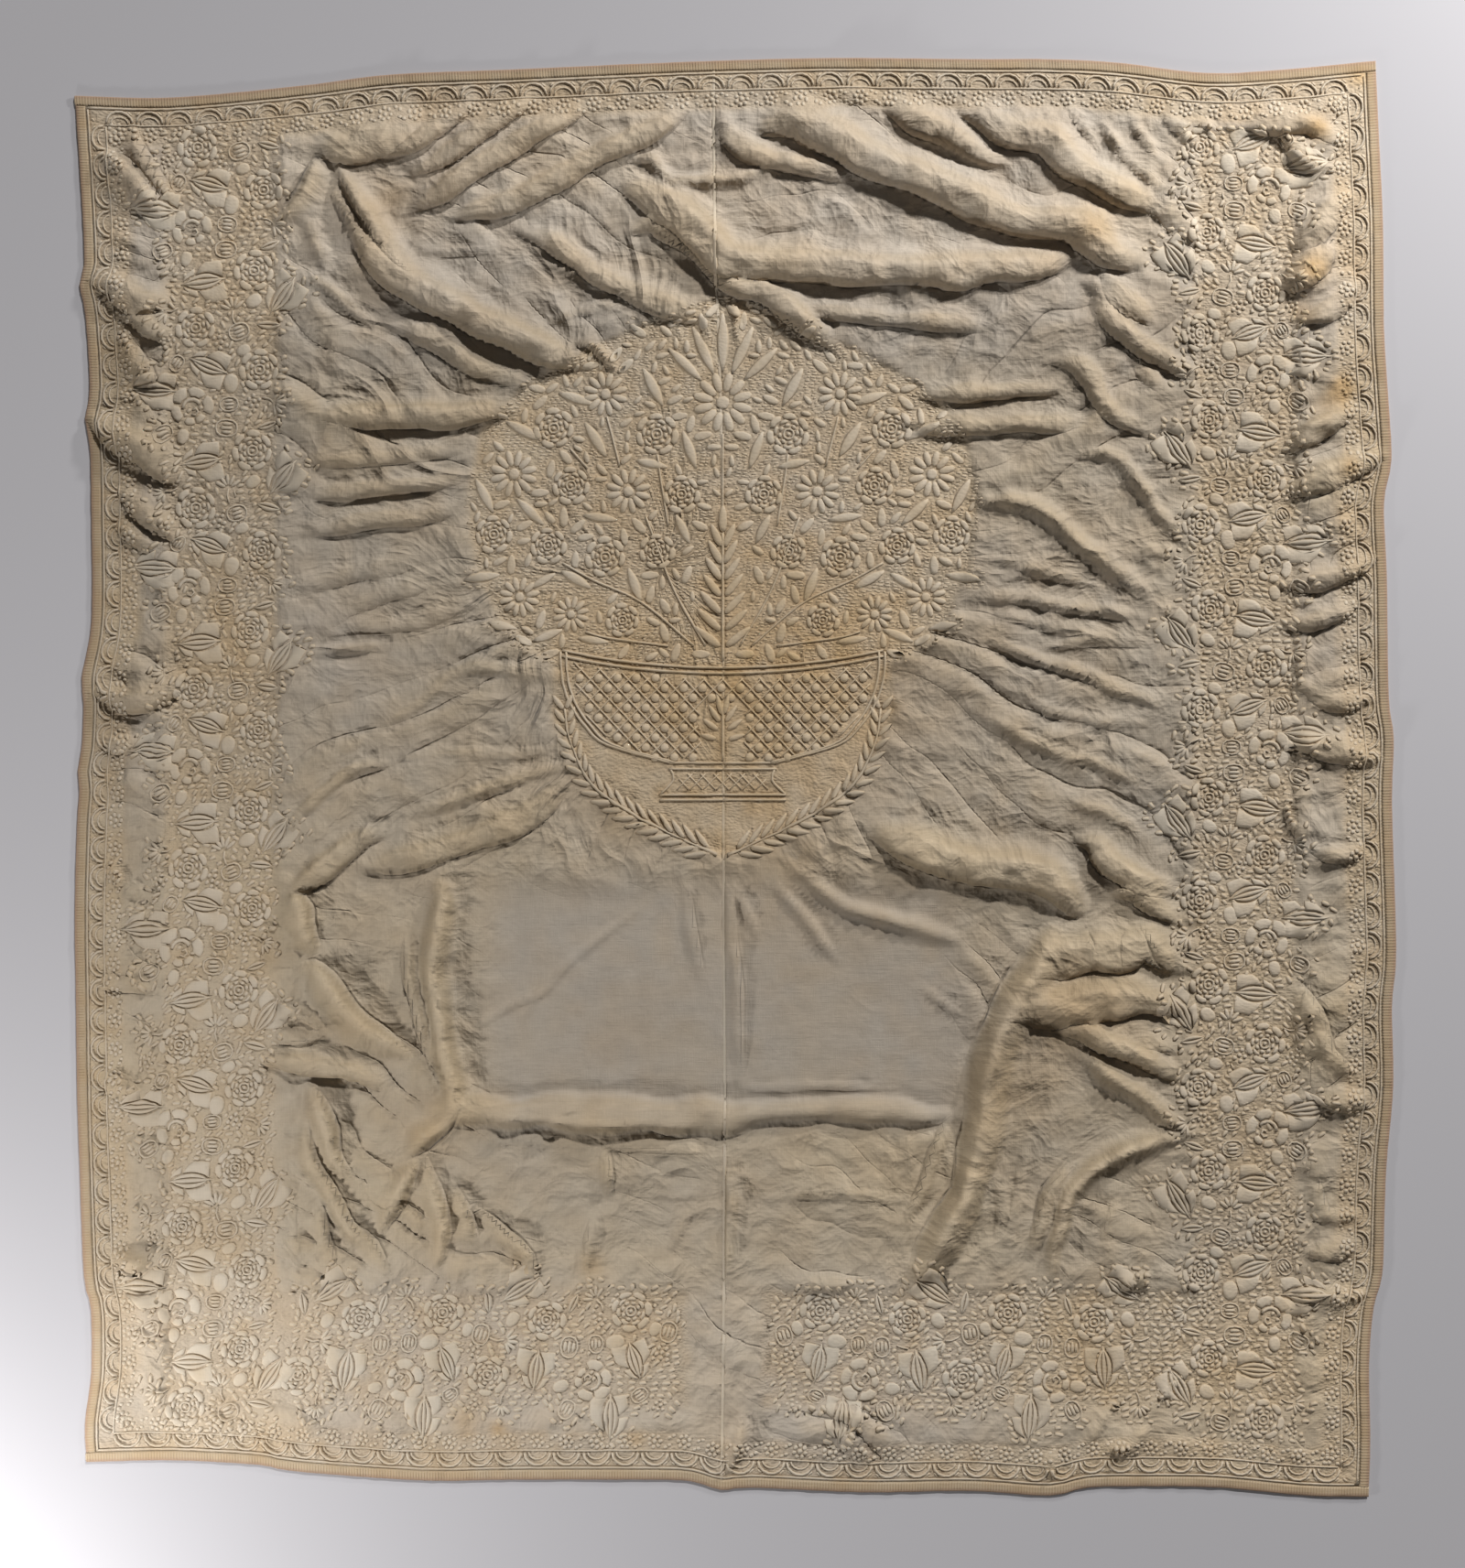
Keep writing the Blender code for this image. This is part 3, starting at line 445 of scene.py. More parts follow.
def fold_lift(places):
    """How high the folds lift each place, their lean, how far it is past a foot and how sharp that is."""
    total = np.zeros(len(places))
    lean = np.zeros((len(places), 2))
    foot = np.full(len(places), FAR)
    sharp = np.zeros(len(places))
    for half, height, falls, line, went, low, high in FOLD_LINES:
        *facing, reach, back, laps, crown, hollow = falls
        spare = EDGE_SPARE * half
        near = np.where((places > low - spare).all(axis=1) & (places < high + spare).all(axis=1))[0]
        if not len(near):
            continue
        here = places[near]
        # Of the crest's nearest place: how far it is, the lift, how far past the foot, how sharp the foot is
        best = np.outer((1e9, 0, FAR, 0), np.ones(len(near)))
        for i in range(len(line) - 1):
            along = line[i + 1] - line[i]
            share = np.clip((here - line[i]) @ along / (along @ along), 0, 1)
            off = here - line[i] - share[:, None] * along
            far = np.sqrt((off * off).sum(axis=1))
            side = off @ np.array(facing) / np.maximum(far, 1e-9)
            way = went[i] + share * (went[i + 1] - went[i])
            end = np.clip(np.minimum(way, went[-1] - way) / min(0.42 * went[-1], END_REACH), 0, 1)
            rise = END_SHARE + (1 - END_SHARE) * np.sin(0.5 * math.pi * end) ** 0.9
            wide = half * (back + (reach - back) * soft_step(-0.3, 0.7, side))
            wide = wide * (0.36 + 0.64 * rise) * (1 + 0.24 * patches(way / 7, height, 64))
            out = np.clip(far / wide, 0, 1)
            behind = (1 - out ** crown) ** hollow
            before = (1 - LAP_FALL * out) * (1 - out ** 6) ** 0.7
            lift = height * rise * (behind + laps * soft_step(-0.4, 0.5, side) * (before - behind))
            now = np.stack([far, lift, far - wide, end * soft_step(0.2, 0.7, side)])
            best = np.where(far < best[0], now, best)
        _, lift, past, edge = best
        total[near] += lift ** BLEND
        lean[near] += np.outer(OVERHANG * height * laps * soft_step(0, 0.45, lift / height), facing)
        closer = (np.abs(past) < np.abs(foot[near])) & (edge > 0.05)
        foot[near[closer]] = past[closer]
        sharp[near[closer]] = edge[closer] * min(1, height / 2)
    sharp = sharp * (1 - soft_step(0.6, 1.3, np.abs(foot)))
    return np.where(total > 1e-9, total ** (1 / BLEND), 0), lean, foot, sharp


def quiet(x, y):
    """1 in the middle of the lower field, where the cloth lies flat, 0 elsewhere."""
    return within(-43, 39, x, 5) * soft_step(-64, -58, y) * soft_step(14, 22, -y)


def rolls(x, y):
    """Rolls of slack cloth that lap one below the next: height, a wave that is 0 at each crease, its depth.

    They run out from the medallion beside it, slant down to the right above and below it and in the strips.
    """
    bent = 0.5 * patches(x / 17, y / 17, 61) + 0.14 * patches(x / 6, y / 6, 65)
    aside = np.abs(x - MEDALLION_X)
    beside = soft_step(-22, -12, y) * soft_step(-88, -80, -y)
    outside = soft_step(99, 101, np.abs(x))
    # One row for each way: phase, way along a roll, its reach, how many of them show, share of this way here
    ways = (
        (8.6 * np.arctan2(aside, 36 - y) + bent, np.hypot(aside, y - 36), 34, 0.45, beside * (1 - outside)),
        ((0.9 * y + 0.42 * x) / 5.6 + 1.6 * bent, 0.9 * x - 0.42 * y, 13, 0.16, (1 - beside) * (1 - outside)),
        ((y - 0.5 * aside) / 6.5 + 1.8 * bent, 2 * x, 22, 0.3, outside),
    )
    height = np.zeros_like(x)
    wave = np.ones_like(x)
    depth = np.zeros_like(x)
    for phase, along, reach, shown, share in ways:
        roll = np.floor(phase)
        way = phase - roll
        size = np.clip(shown + 0.95 * patches(roll + 0.5, along / reach + 0.37 * roll, 63), 0, 1)
        before = (0.42 + 0.58 * way / ROLL_CREST) * np.minimum(1, way / 0.1) ** 0.6
        lap = np.where(way < ROLL_CREST, before, (np.maximum(1 - way, 0) / (1 - ROLL_CREST)) ** 0.9)
        height += share * size * lap
        here = share > 0.5
        wave = np.where(here, np.sin(math.pi * phase), wave)
        depth = np.where(here, (2 * share - 1) * size, depth)
    return ROLL_RISE * height, wave, depth


def fading(start, reach):
    """1 where the tucks start, less further on, 0 before they start."""
    return np.where(start > 0, np.exp(-np.maximum(start, 0) / reach), 0)


def tucks(x, y):
    """Sharp little tucks that run out from the worked parts into the plain cloth."""
    inside = medallion_reach(x, y)
    ring = np.where(inside < 1, np.exp(np.minimum(inside, 0) / 6), 0)
    strips = (x < LEFT_BAND[0]) | (x > RIGHT_BAND[1])
    sway = 2 * patches(x / 7, y / 7, 2)
    # One row for each kind: its height here, the two ways of its pattern, its seed
    kinds = (
        (0.42 * fading(np.minimum(x - LEFT_BAND[1], RIGHT_BAND[0] - x), 8), x / 9, (y + sway) / 2.2, 3),
        (0.42 * strips, (x + 0.4 * y) / 6, (y - 0.3 * x) / 2.6, 4),
        (0.4 * fading(y - BOTTOM_BAND[1], 7), (x + sway) / 2.3, y / 8, 5),
        (0.4 * fading(117 - y, 8), (x + 0.8 * y) / 2.4, (y - 0.8 * x) / 8, 6),
        (0.34 * ring, 20 * np.arctan2(y - 35, x - MEDALLION_X), np.hypot(x, y - 35) / 9, 7),
    )
    rows = 0.28 * strips * patches(x / 3.4, y / 2.4, 14)
    for height, u, v, seed in kinds:
        rows = rows + height * ridge(u, v, seed, 2.4)
    return rows * (1 - worked(x, y))


def crumples(x, y):
    """Sharp little creases that branch all over the slack cloth, fewer where it lies flat."""
    u = x + 2.6 * patches(x / 6, y / 6, 51)
    v = y + 2.6 * patches(x / 6, y / 6, 52)
    lines = 0.26 * ridge(u / 8.5, v / 6, 53, 3.4) ** 1.6 + 0.12 * ridge(u / 3.4, v / 3, 54, 2.6) ** 1.4
    return lines * (1 - 0.85 * quiet(x, y)) * (1 - 0.6 * worked(x, y))


def slackness(x, y):
    """1 where the plain cloth is slack enough to roll, 0 where it is worked, edged or lies flat."""
    return (1 - 0.95 * quiet(x, y)) * (1 - held(x, y, 4, 8))


def relief(places):
    """Height of the underside at each place, and its lean."""
    x, y = places.T
    lift, lean = fold_lift(places)[:2]
    slack = rolls(x, y)[0] * slackness(x, y)
    lift = (lift ** BLEND + slack ** BLEND) ** (1 / BLEND)
    small = 0.11 * patches(x / 6, y / 6.5, 8) + crumples(x, y) + tucks(x, y)
    small = soft_step(0.5, 6, edge_depth(x, y)) * small + 0.05 * patches(x / 1.7, y / 1.7, 10)
    ripple = 1 + 0.12 * patches(x / 2.4, y / 2.4, 11) + 0.14 * patches(x / 5.5, y / 5.5, 12)
    return np.maximum(lift * ripple + small + 0.06, 0), lean


def surface(places, over):
    """Points in space, in metres, this far over the underside of the cloth along its facing."""
    places = np.asarray(places, float)
    points = []
    for step in ((0, 0), (NUDGE, 0), (-NUDGE, 0), (0, NUDGE), (0, -NUDGE)):
        height, lean = relief(places + step)
        points.append(np.column_stack([places + step + lean, height]))
    middle, east, west, north, south = points
    up = np.cross(east - west, north - south)
    up /= np.linalg.norm(up, axis=1)[:, None]
    return (middle + up * np.broadcast_to(over, len(places))[:, None]) * CM


# Age and tone of the cotton
# One row for each stain: x, y, reach, strength
STAINS = (
    (101, 89, 2.6, 0.9), (101.5, 113.5, 2.4, 0.8), (106, 68, 2, 1), (107, 54.5, 1.8, 0.9),
    (104, 66, 2.6, 0.5), (99, 81, 2.4, 0.5), (-47.5, -112, 2.8, 0.5), (-41.5, -114, 1.6, 0.8),
    (-17.5, -116, 1.8, 0.6), (-17, -96.5, 5, 0.35), (-25, -85.5, 2.4, 0.4), (-38, -84, 1.8, 0.4),
    (109, 123, 2.4, 0.6), (88, -105, 6, 0.3), (60, -100, 6, 0.3), (-88, 20, 8, 0.25), (0, 12, 22, 0.35),
    (0, 30, 30, 0.25), (8, -10, 10, 0.25), (-20, -8, 8, 0.25), (60, -40, 9, 0.35), (50, -55, 8, 0.3),
    (-55, -62, 7, 0.3), (62, 95, 4, 0.4), (-60, 101, 4, 0.4), (20, 20, 14, 0.25),
)


def tones(places, points):
    """Stain, warmth, work and paleness with painted light of each place, from 0 to 1; the folds' tops have
    yellowed most and carry a painted highlight.
    """
    x, y = places.T
    height = points[:, 2] / CM
    work = worked(x, y)
    flat = quiet(x, y)
    low = soft_step(0, 30, -y) * (1 - work) * (1 - flat)
    crest = soft_step(0.8, 2.2, height) * (1 - work)
    stain = 0.1 + work * (0.04 + 0.22 * patches(x / 2.6, y / 2.6, 25)) + 0.1 * crest
    stain = stain + 0.1 * patches(x / 9, y / 9, 21) + 0.1 * patches(x / 3.1, y / 3.1, 22)
    for sx, sy, reach, strength in STAINS:
        stain = stain + strength * np.exp(-((x - sx) ** 2 + (y - sy) ** 2) / reach ** 2)
    warm = 0.3 + 0.35 * work + 0.35 * low + 0.4 * crest - 0.25 * flat + 0.15 * patches(x / 22, y / 22, 23)
    warm = warm - 0.25 * soft_step(66, 90, y) + 0.25 * (1 - soft_step(1, 9, edge_depth(x, y)))
    warm = warm - 0.45 * soft_step(82, 94, -y) * soft_step(-70, -30, -x)
    # Paleness: random patches of tone, plus painted light that brightens the bottom and the top, the
    # medallion and the worked parts towards the sides
    pale_and_painted_light = 0.85 * soft_step(78, 98, -y) + 0.95 * soft_step(70, 100, y) + 0.15 * patches(x / 26, y / 26, 24)
    pale_and_painted_light = pale_and_painted_light + 0.3 * work * soft_step(70, 82, np.abs(x)) + 0.5 * soft_step(0, 3, medallion_reach(x, y))
    # Painted highlight: the tops of the folds are paler
    pale_and_painted_light = pale_and_painted_light + 0.45 * soft_step(1.6, 3, height) * (1 - work)
    named = (("stain", stain), ("warmth", warm), ("worked", work), ("pale_and_painted_light", pale_and_painted_light))
    return {name: np.clip(values, 0, 1) for name, values in named}


def tell(mesh, **named):
    """Writes one value for each vertex as the mesh's own attribute, under each name."""
    for name, values in named.items():
        layer = mesh.attributes.new(name, "FLOAT", "POINT")
        layer.data.foreach_set("value", np.asarray(values, np.float32))


def shown(name, data):
    """A new object of this data in the scene."""
    obj = bpy.data.objects.new(name, data)
    bpy.context.scene.collection.objects.link(obj)
    return obj


def add_piece(name, mesh, material):
    """A finished mesh as a smooth piece that rides on the root."""
    mesh.polygons.foreach_set("use_smooth", np.ones(len(mesh.polygons), bool))
    mesh.materials.append(material)
    obj = shown(name, mesh)
    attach(obj, "root")
    return obj


def new_grid(columns, rows):
    """A flat grid, and the column and the row of each of its corners."""
    bm = bmesh.new()
    bmesh.ops.create_grid(bm, x_segments=columns, y_segments=rows, size=1)
    flat = (np.array([v.co[:2] for v in bm.verts]) + 1) / 2 * (columns, rows)
    return bm, *np.rint(flat).astype(int).T


def lay_sheet(name, bm, places, over, thick, material):
    """A grid laid this far over the folds, facing up, as a piece with its thickness under it."""
    points = surface(places, over)
    for v, point in zip(bm.verts, points):
        v.co = point
    bmesh.ops.recalc_face_normals(bm, faces=bm.faces)
    if sum(face.normal.z for face in bm.faces) < 0:
        bmesh.ops.reverse_faces(bm, faces=bm.faces)
    mesh = bpy.data.meshes.new(name)
    bm.to_mesh(mesh)
    bm.free()
    tell(mesh, **tones(places, points))
    piece = add_piece(name, mesh, material)
    body = piece.modifiers.new("thickness", "SOLIDIFY")
    body.thickness = thick * CM
    body.offset = -1
    return piece


def grid_stops(low, *runs):
    """Stops from low on, one run after another: where each ends and how far apart its stops are."""
    out = [low]
    for end, pitch in runs:
        start = out[-1]
        count = max(1, round((end - start) / pitch))
        out.extend(start + (end - start) * (i + 1) / count for i in range(count))
    return np.array(out)


def lay_width(name, material, right_hand):
    """One width of cloth: a grid laid on the folds, with its thickness."""
    if right_hand:
        stops = grid_stops(-2.6, (78, FIELD_PITCH), (98, BAND_PITCH), (113.4, STRIP_PITCH))
    else:
        stops = grid_stops(-113.6, (-99.5, STRIP_PITCH), (-79, BAND_PITCH), (-2.6, FIELD_PITCH))
    rows = grid_stops(
        -122.5, (-110, STRIP_PITCH), (-89, BAND_PITCH), (119, FIELD_PITCH), (122.5, STRIP_PITCH))
    bm, i, j = new_grid(len(stops) - 1, len(rows) - 1)
    share = (stops[i] - stops[0]) / (stops[-1] - stops[0])
    tape_up = TAPE_WIDTH / TALL
    up = tape_up + (1 - 2 * tape_up) * (rows[j] - rows[0]) / (rows[-1] - rows[0])
    seam = seam_share(up)
    gap = 0.5 * GAP / WIDE
    outer = TAPE_WIDTH / WIDE + gap
    low, high = (seam + gap, 1 - outer) if right_hand else (outer, seam - gap)
    across = low + share * (high - low)
    places = in_outline(across, up)
    cloth = lay_sheet(name, bm, places, CLOTH_THICK, CLOTH_THICK, material)
    x, y = places.T
    lift, _, foot, sharp = fold_lift(places)
    _, wave, depth = rolls(x, y)
    lapped = depth * slackness(x, y) * (1 - soft_step(0.2, 0.7, lift))
    slack = 1 - 0.8 * quiet(x, y) - 0.4 * worked(x, y)
    tell(cloth.data, slack=slack, wave=wave, lapped=lapped, foot=foot, sharp=sharp)
    return cloth


# Stuffed and corded work
class Work:
    """Padded shapes and cords in plan, gathered into one mesh and laid on the cloth together."""

    def __init__(self, name):
        self.name = name
        self.plan = []
        self.rise = []
        self.faces = []
        self.count = 0
        self.taken = []

    def add(self, plan, rise, faces):
        self.plan.append(plan)
        self.rise.append(rise)
        self.faces.extend([tuple(i + self.count for i in face) for face in faces])
        self.count += len(plan)

    def pad(self, outline, height, plump=False):
        """A padded shape: its outline runs anticlockwise and its top is crowned."""
        outline = np.asarray(outline, float)
        k = len(outline)
        centre = outline.mean(axis=0)
        uneven = 1 + 0.07 * patches(outline[:, 0] / 1.3, outline[:, 1] / 1.3, 91)
        outline = centre + (outline - centre) * uneven[:, None]
        height = height * (1 + 0.18 * patches(centre[0] / 1.9, centre[1] / 1.9, 92))
        rings = ((0.88, 0.6), (0.58, 0.93)) if plump else ((0.74, 0.78),)
        shares = [1] + [s for s, _ in rings]
        plan = np.vstack([centre + s * (outline - centre) for s in shares] + [centre])
        rise = np.append(np.repeat([SUNK] + [h * height for _, h in rings], k), height)
        faces = [tuple(range(k - 1, -1, -1))]
        last = len(rings) * k
        for r in range(0, last, k):
            for i in range(k):
                n = (i + 1) % k
                faces.append((r + i, r + n, r + k + n, r + k + i))
        faces.extend((last + i, last + (i + 1) % k, last + k) for i in range(k))
        self.add(plan, rise, faces)
        far = np.linalg.norm(outline - centre, axis=1)
        long = (outline[far.argmax()] - centre) * (1 - far.min() / far.max())
        self.taken.extend((*(centre + t * long), 0.92 * far.min()) for t in (-1, -0.5, 0, 0.5, 1))

    def bean(self, f, x, y, length, width, turn, sides, height, point=0, plump=False):
        """A padded oval at this place of a frame."""
        self.pad(f.outline(oval(x, y, length, width, turn, sides, point)), height, plump)

    def seeds(self, x, y, turn, length, width, height):
        """Many small stuffed grains, each a hexagon in plan with a short ridge."""
        u = length[:, None] * (0.5, 0.28, -0.28, -0.5, -0.28, 0.28, 0.26, -0.26)
        v = width * np.array((0, 0.5, 0.5, 0, -0.5, -0.5, 0, 0))
        c = np.cos(turn)[:, None]
        s = np.sin(turn)[:, None]
        plan = np.stack([x[:, None] + u * c - v * s, y[:, None] + u * s + v * c], axis=2).reshape(-1, 2)
        rise = np.tile([SUNK] * 6 + [height] * 2, len(x))
        sides = ((0, 1, 6), (1, 2, 7, 6), (2, 3, 7), (3, 4, 7), (4, 5, 6, 7), (5, 0, 6), (5, 4, 3, 2, 1, 0))
        self.add(plan, rise, [tuple(8 * i + j for j in face) for i in range(len(x)) for face in sides])

    def lens(self, line, width, height):
        """A long stuffed shape along a line, drawn to a point at both ends."""
        fat = np.sin(math.pi * np.clip(np.linspace(0, 1, len(line)), 0.03, 0.97)) ** 0.7
        self.cord(line, width * fat, height * fat ** 0.5)

    def cord(self, line, width, height, closed=False):
        """A stuffed cord along a line of places."""
        line = np.asarray(line, float)
        stations = len(line)
        width = np.broadcast_to(np.asarray(width, float), stations)
        height = 0.9 * np.broadcast_to(np.asarray(height, float), stations)
        way = np.roll(line, -1, axis=0) - np.roll(line, 1, axis=0)
        if not closed:
            way[0] = line[1] - line[0]
            way[-1] = line[-1] - line[-2]
        way /= np.maximum(np.linalg.norm(way, axis=1), 1e-9)[:, None]
        side = np.column_stack([-way[:, 1], way[:, 0]])
        plan = np.stack([line + side * (o * width)[:, None] for o in (0.5, 0.26, -0.26, -0.5)], axis=1)
        sunk = np.full(stations, SUNK)
        rise = np.stack([sunk, height, height, sunk], axis=1).ravel()
        faces = []
        for j in range(stations if closed else stations - 1):
            a = 4 * j
            b = 4 * ((j + 1) % stations)
            faces.extend((a + (k + 1) % 4, b + (k + 1) % 4, b + k, a + k) for k in range(3))
            faces.append((a, b, b + 3, a + 3))
        if not closed:
            end = 4 * (stations - 1)
            faces.extend([(3, 2, 1, 0), (end, end + 1, end + 2, end + 3)])
        self.add(plan.reshape(-1, 2), rise, faces)
        ahead = np.roll(line, -1, axis=0) if closed else np.vstack([line[1:], line[-1:]])
        places = np.vstack([line, 0.5 * (line + ahead)])
        self.taken.extend((*p, 0.5 * w) for p, w in zip(places, np.tile(width, 2)))

    def finish(self, material):
        plan = np.vstack(self.plan)
        rise = np.concatenate(self.rise)
        mesh = bpy.data.meshes.new(self.name)
        points = surface(plan, CLOTH_THICK + rise)
        mesh.from_pydata(points.tolist(), [], self.faces)
        tell(mesh, groove=rise < 0, **tones(plan, points))
        return add_piece(self.name, mesh, material)


def oval(x, y, length, width, turn, sides=8, point=0):
    """An oval outline, drawn to a point at its far end when asked."""
    a = np.arange(sides) * TURN / sides
    u = 0.5 * length * np.sign(np.cos(a)) * np.abs(np.cos(a)) ** 0.84
    v = 0.5 * width * np.sign(np.sin(a)) * np.abs(np.sin(a)) ** 0.84 * (1 - point * np.maximum(np.cos(a), 0))
    return turned(np.column_stack([u, v]), turn) + (x, y)


def turned(line, turn):
    """Places turned about the middle."""
    c = math.cos(turn)
    s = math.sin(turn)
    return np.column_stack([line[:, 0] * c - line[:, 1] * s, line[:, 0] * s + line[:, 1] * c])


class Frame:
    """Places a motif: its own x and y go to the cloth's, turned, mirrored and scaled."""

    def __init__(self, x, y, turn=0, flip=1, size=1):
        self.at = np.array([x, y])
        self.turn = turn
        self.flip = flip
        self.size = size

    def put(self, line):
        line = np.atleast_2d(np.array(line, float)) * self.size
        return turned(line * (1, self.flip), self.turn) + self.at

    def outline(self, line):
        return self.put(line)[::self.flip]


HERE = Frame(0, 0)


def petal(a, spread, inner, outer):
    """A padded petal round a middle: narrow and straight inside, broad and bowed outside."""
    t = np.linspace(-0.5, 0.5, 5)
    far = outer * (1 - 0.1 * np.abs(2 * t) ** 3)
    s = np.array((0.42, 0, -0.42))
    return np.vstack([np.column_stack([far * np.cos(a + spread * t), far * np.sin(a + spread * t)]),
                      np.column_stack([inner * np.cos(a + spread * s), inner * np.sin(a + spread * s)])])


def rosette(work, f, radius):
    """A flower of rings: a bead in a cord ring, small beads, then two rows of padded petals that touch."""
    s = radius / 3.5
    work.bean(f, 0, 0, 0.7 * s, 0.7 * s, 0, 6, 0.24)
    work.cord(f.put(oval(0, 0, 1.6 * s, 1.6 * s, 0, 10)), 0.4 * s, 0.21, closed=True)
    for i in range(8):
        a = (i + 0.5) * TURN / 8
        work.bean(f, *polar(1.42 * s, a), 0.72 * s, 0.96 * s, a, 6, 0.225)
    pitch = TURN / 7
    for i in range(7):
        a = (i + 0.2) * pitch
        more = 0.12 * math.sin(5 * i + 11 * radius)
        work.pad(f.outline(petal(a + 0.5 * pitch, 0.86 * pitch, 1.86 * s, (2.52 + 0.6 * more) * s)), 0.255)
        work.pad(f.outline(petal(a, 0.93 * pitch, 2.44 * s, (3.52 + more) * s)), 0.3, plump=True)


def half_flower(work, f, radius):
    """A flower seen from the side: a curl over a long bean, with bowed petals round them."""
    s = radius / 3.8
    middle = np.array((-0.3, 0.5)) * s
    curl = np.array(((-0.2, 1.5), (-0.9, 1.7), (-1.35, 1.1), (-1.0, 0.5), (-0.45, 0.75)))
    work.cord(f.put(curl * s), 0.42 * s, 0.21)
    t = np.radians(np.linspace(-150, 0, 7))
    work.cord(f.put(1.55 * s * np.column_stack([np.cos(t), np.sin(t)]) + middle), 0.72 * s, 0.27)
    for start, end, inner, outer, count in ((-200, 50, 2, 3.9, 4), (58, 152, 1.7, 3, 2)):
        spread = math.radians(end - start) / count
        for i in range(count):
            a = math.radians(start) + (i + 0.5) * spread
            bowed = petal(a, 0.97 * spread, inner, outer * (1 + 0.05 * math.sin(4 * i)))
            work.pad(f.outline(bowed * s + middle), 0.3, plump=True)


def daisy(work, f, radius):
    """A flower of twelve long narrow petals round a bead."""
    work.bean(f, 0, 0, 0.46 * radius, 0.46 * radius, 0, 8, 0.286, plump=True)
    reach = 0.63 * radius
    for i in range(12):
        a = i * TURN / 12
        work.bean(f, *polar(reach, a), 0.74 * radius, 0.98 * TURN * reach / 12, a, 8, 0.26)


def lined_leaf(work, f, length, width, lines=3):
    """A pointed leaf of long stuffed shapes side by side."""
    t = np.linspace(0, 1, 8)
    for i in range(lines):
        off = i - 0.5 * (lines - 1)
        along = (t - 0.5) * length * (1 - 0.16 * abs(off))
        line = np.column_stack([along, off * width / lines * np.sin(math.pi * t) ** 0.8])
        work.lens(f.put(line), 0.96 * width / lines * f.size, 0.28 * (1 - 0.12 * abs(off)))


def lobed_leaf(work, f, length, lobes):
    """A lined leaf with padded lobes that hug it, each broadest near its start."""
    lined_leaf(work, f, length, 2.8)
    for side, start, end, bulge, height in lobes:
        t = np.linspace(start, end, 7)
        way = (t - start) / (end - start)
        edge = 1.4 * np.sin(math.pi * t) ** 0.8 + 0.1
        out = edge + bulge * (np.sin(math.pi * way ** 0.6) ** 0.55 + 0.09 * np.sin(11 * way))
        inner = np.column_stack([(t - 0.5) * length, side * edge])
        outer = np.column_stack([(t - 0.5) * length - 0.5 * (1 - way) * bulge, side * out])[1:-1]
        work.pad(f.outline(np.vstack([inner, outer[::-1]])[::side]), height, plump=True)


def cupped_leaf(work, f):
    lobed_leaf(work, f, 7.6, ((-1, 0.03, 0.66, 2.25, 0.32), (-1, 0.66, 0.97, 1.3, 0.26),
                              (1, 0.03, 0.66, 2.75, 0.32), (1, 0.66, 0.97, 1.3, 0.26)))


def leaf_with_lobes(work, f):
    lobed_leaf(work, f, 8.4, ((1, 0.04, 0.8, 2.5, 0.32), (-1, 0.03, 0.46, 2.2, 0.3),
                              (-1, 0.48, 0.92, 1.7, 0.28)))


def small_leaf(work, f):
    lined_leaf(work, f, 4.4, 1.6, lines=2)


def lobe(work, f):
    work.bean(f, 0, 0, 3.6, 2.8, 0, 12, 0.28, 0.22, plump=True)


def barred_bud(work, f):
    """An oval of cord with fat bars inside."""
    work.cord(f.put(oval(0, 0, 3.6, 2.8, 0, 12)), 0.36 * f.size, 0.2, closed=True)
    for off in (-1, 0, 1):
        work.bean(f, 0, 0.7 * off, 2.448 * (1 - 0.22 * abs(off)), 0.672, 0, 8, 0.22)


def bead_cluster(work, f):
    """Round beads close together."""
    for u, v in ((0, 0), (1.05, 0.3), (-0.95, 0.5), (0.2, 1.1), (0.5, -1), (-0.6, -0.9), (1.5, -0.8)):
        work.bean(f, u, v, 1, 0.9, 0.4, 6, 0.22)


def fan(work, f):
    """A small spray: a stem with five padded petals at its end."""
    work.cord(f.put(flowing(((-2.6, 0), (-1.2, 0.3), (-0.1, 0)), 0.8)), 0.36 * f.size, 0.22)
    for i in range(5):
        a = (i - 2) * 0.52
        work.bean(f, *polar(1.45, a), 2.3, 0.74, a, 8, 0.24)


